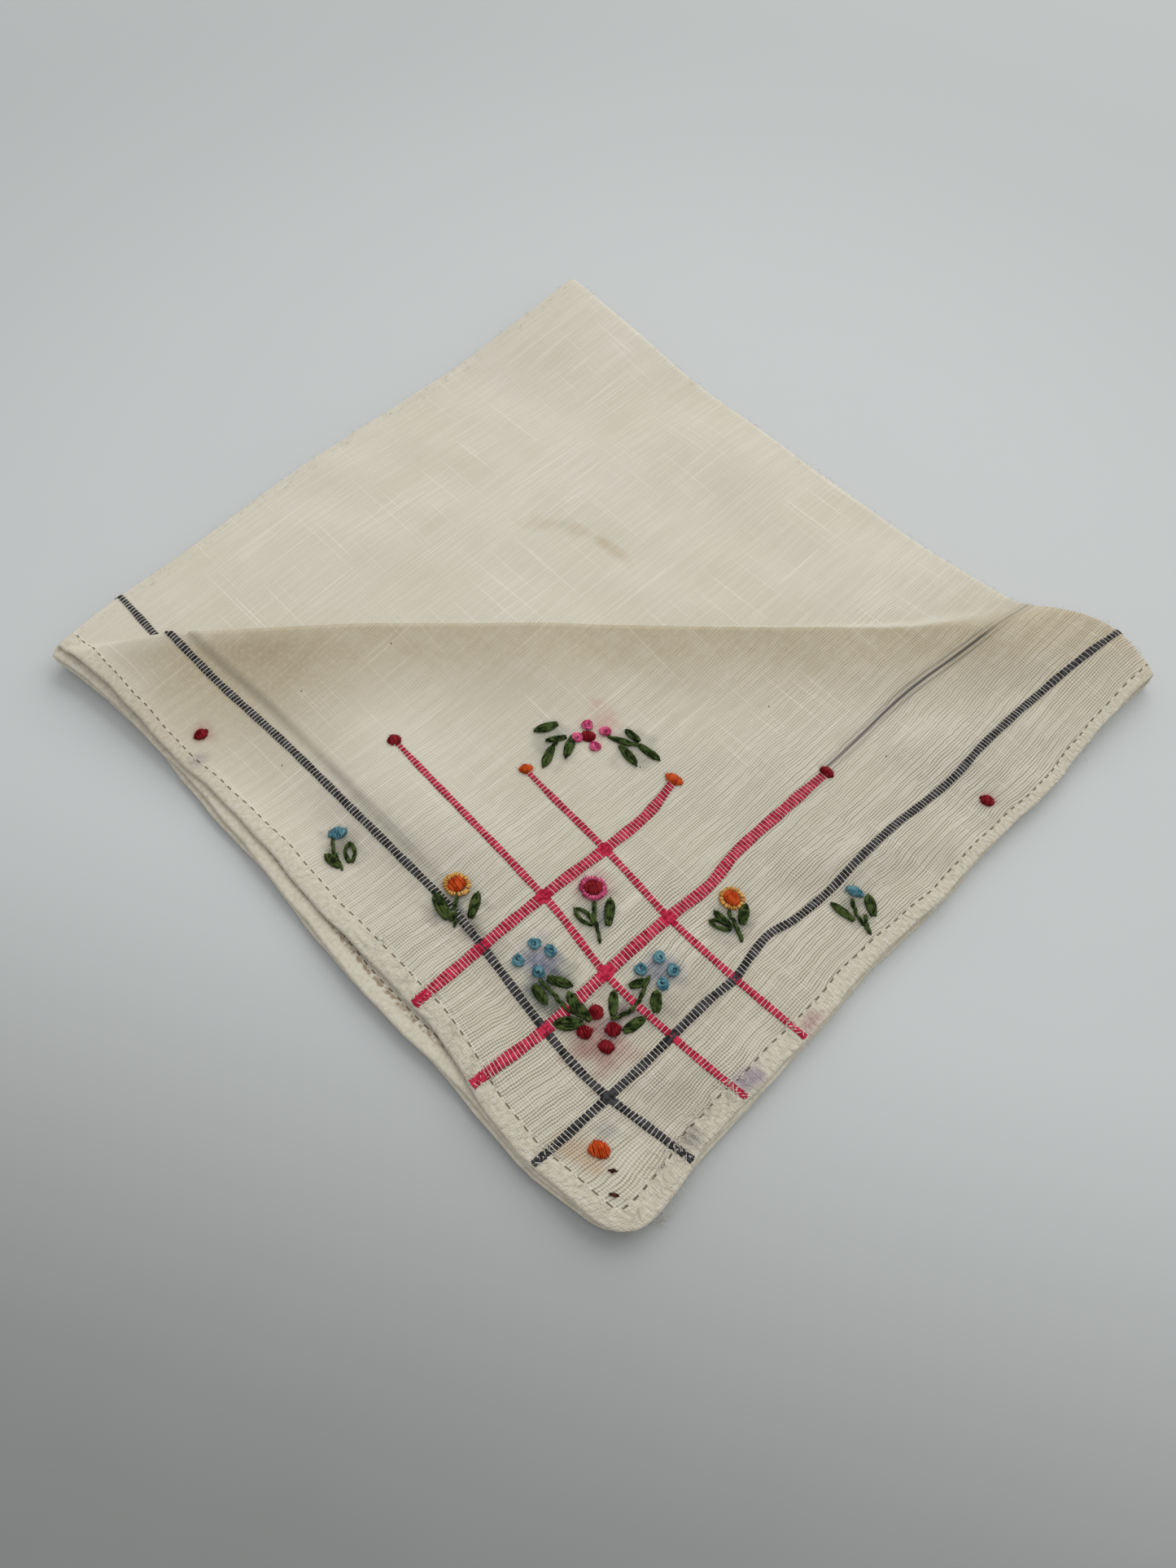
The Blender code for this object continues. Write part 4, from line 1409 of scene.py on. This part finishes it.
# %% Loose fibres
FIBRES = 420
fibres = []
for number in range(FIBRES):
    share = np.linspace(0, 1, 6)
    start = rng.uniform(1, HALF - 2)
    length = rng.uniform(0.6, 2.2) * (1 if number % 5 else 1.6)
    out = 0.8 - share * length
    run = start + share * rng.uniform(-1.4, 1.4) + 0.3 * np.sin(share * rng.uniform(2, 7))
    lift = 0.1 * np.sin(share * rng.uniform(1, 5)) - share * rng.uniform(0, 1.6)
    thick = 0.028 * np.array([0, 1, 1, 1, 0.8, 0])
    fibres.append(np.column_stack(([run, out] if number % 2 else [out, run]) + [lift, thick]))
for number in range(FIBRES):
    share = np.linspace(0, 1, 5)
    along = rng.uniform(2, HALF - 4) + share * rng.uniform(-1.5, 1.5)
    near = HALF - rng.uniform(0, 3.0) + 0 * share
    lift = share * rng.uniform(0.25, 1.1)
    thick = 0.024 * np.array([0, 1, 1, 0.8, 0])
    fibres.append(np.column_stack(([along, near] if number % 2 else [near, along]) + [lift, thick]))
sew("loose_fibres", fibres, white_thread, sides=3)

# %% Frayed threads
FRAYED = 12
frayed = []
for number in range(FRAYED):
    share = np.linspace(0, 1, 9)
    start = np.array((rng.uniform(0.5, 3.0), rng.uniform(-104.2, -103.0), 1.3))
    reach = np.array((rng.uniform(3.0, 7.5), rng.uniform(-1.6, 1.2), 0))
    line = start + np.outer(share, reach)
    line[:, 1] += 0.5 * np.sin(share * rng.uniform(3, 8) + rng.uniform(0, 6)) * share
    line[:, 2] = 0.12 + 1.2 * (1 - smooth(share * 2.2)) + 0.15 * share * rng.uniform(0, 1)
    frayed.append(line * MM)
points = np.concatenate(frayed)
thick = np.tile(0.035 * np.array([0, 1, 1, 1, 1, 1, 1, 0.7, 0]), FRAYED)
upward = np.tile((0.0, 0.0, 1.0), (len(points), 1))
tubes("frayed_threads", points, upward, thick, [9] * FRAYED, 4, 1.0, white_thread)

# %% [markdown]
# ## The table and the light
#
# The table is a pale grey sheet with light and shade painted on it: a painted pool of light round the
# cloth, and a soft painted shade at the front. The light is soft: a wide lamp high behind the cloth
# and to the right, as from a window, which lights the back of the crease and leaves its front slope in
# shade, a weak lamp above, and a pale room all round.

# %% The table
# Painted light and shade on the table: lighter in the middle, darker farther out, and a soft shade toward
# the front.
TABLE_PAINTED_LIGHT = srgb(200, 203, 202)
TABLE_AWAY = srgb(184, 187, 186)
TABLE_PAINTED_SHADE = srgb(130, 131, 129)


def finish_table():
    """Smooth pale grey, with a painted pool of light round the cloth and painted shade at the front."""
    material = bpy.data.materials.new("table")
    material.use_nodes = True
    tree = material.node_tree
    shader = tree.nodes["Principled BSDF"]
    place = add_node(tree, "ShaderNodeTexCoord").outputs["Object"]
    part = add_node(tree, "ShaderNodeSeparateXYZ", {0: place}).outputs
    # The painted shade toward the front fades out again far off; the painted light is a pool round the
    # middle.
    slanted = maths(tree, "MULTIPLY_ADD", part["X"], 0.25, part["Y"])
    shade = times(tree, ramp(tree, slanted, -0.05, -0.17), ramp(tree, slanted, -0.6, -0.3))
    away = add_node(tree, "ShaderNodeVectorMath", {0: place}, operation="LENGTH").outputs["Value"]
    colour = mixed(tree, ramp(tree, away, 0.08, 0.26), TABLE_PAINTED_LIGHT, TABLE_AWAY)
    colour = mixed(tree, shade, colour, TABLE_PAINTED_SHADE)
    grain = noise(tree, place, 60.0, 4.0).outputs[0]
    colour = mixed(tree, times(tree, grain, 0.08), colour, srgb(180, 182, 184))
    tree.links.new(colour, shader.inputs["Base Color"])
    shader.inputs["Roughness"].default_value = 0.6
    shader.inputs["Specular IOR Level"].default_value = 0.2
    return material


bm = bmesh.new()
bmesh.ops.create_grid(bm, x_segments=1, y_segments=1, size=2.0)
floor_mesh = bpy.data.meshes.new("table")
bm.to_mesh(floor_mesh)
bm.free()
floor_mesh.materials.append(finish_table())
floor = bpy.data.objects.new("table", floor_mesh)
bpy.context.scene.collection.objects.link(floor)

# %% The light
def soft_lamp(name, place, aim, width, height, power, colour):
    """A wide lamp that points at a place."""
    lamp = bpy.data.lights.new(name, "AREA")
    lamp.shape = "RECTANGLE"
    lamp.size = width
    lamp.size_y = height
    lamp.energy = power
    lamp.color = colour
    holder = bpy.data.objects.new(name, lamp)
    holder.location = place
    holder.rotation_euler = (Vector(aim) - Vector(place)).to_track_quat("-Z", "Y").to_euler()
    bpy.context.scene.collection.objects.link(holder)


soft_lamp("window", (0.85, 1.4, 1.3), (0, 0, 0), 2.6, 1.8, 30.0, (1.0, 0.995, 0.985))
soft_lamp("ceiling", (0.2, -0.2, 1.6), (0, 0, 0), 2.0, 2.0, 2.0, (1.0, 1.0, 1.0))
world = bpy.data.worlds.new("room")
world.use_nodes = True
world.node_tree.nodes["Background"].inputs["Color"].default_value = (0.97, 0.985, 1.0, 1)
world.node_tree.nodes["Background"].inputs["Strength"].default_value = 0.58
bpy.context.scene.world = world
bpy.context.scene.view_settings.view_transform = "Standard"
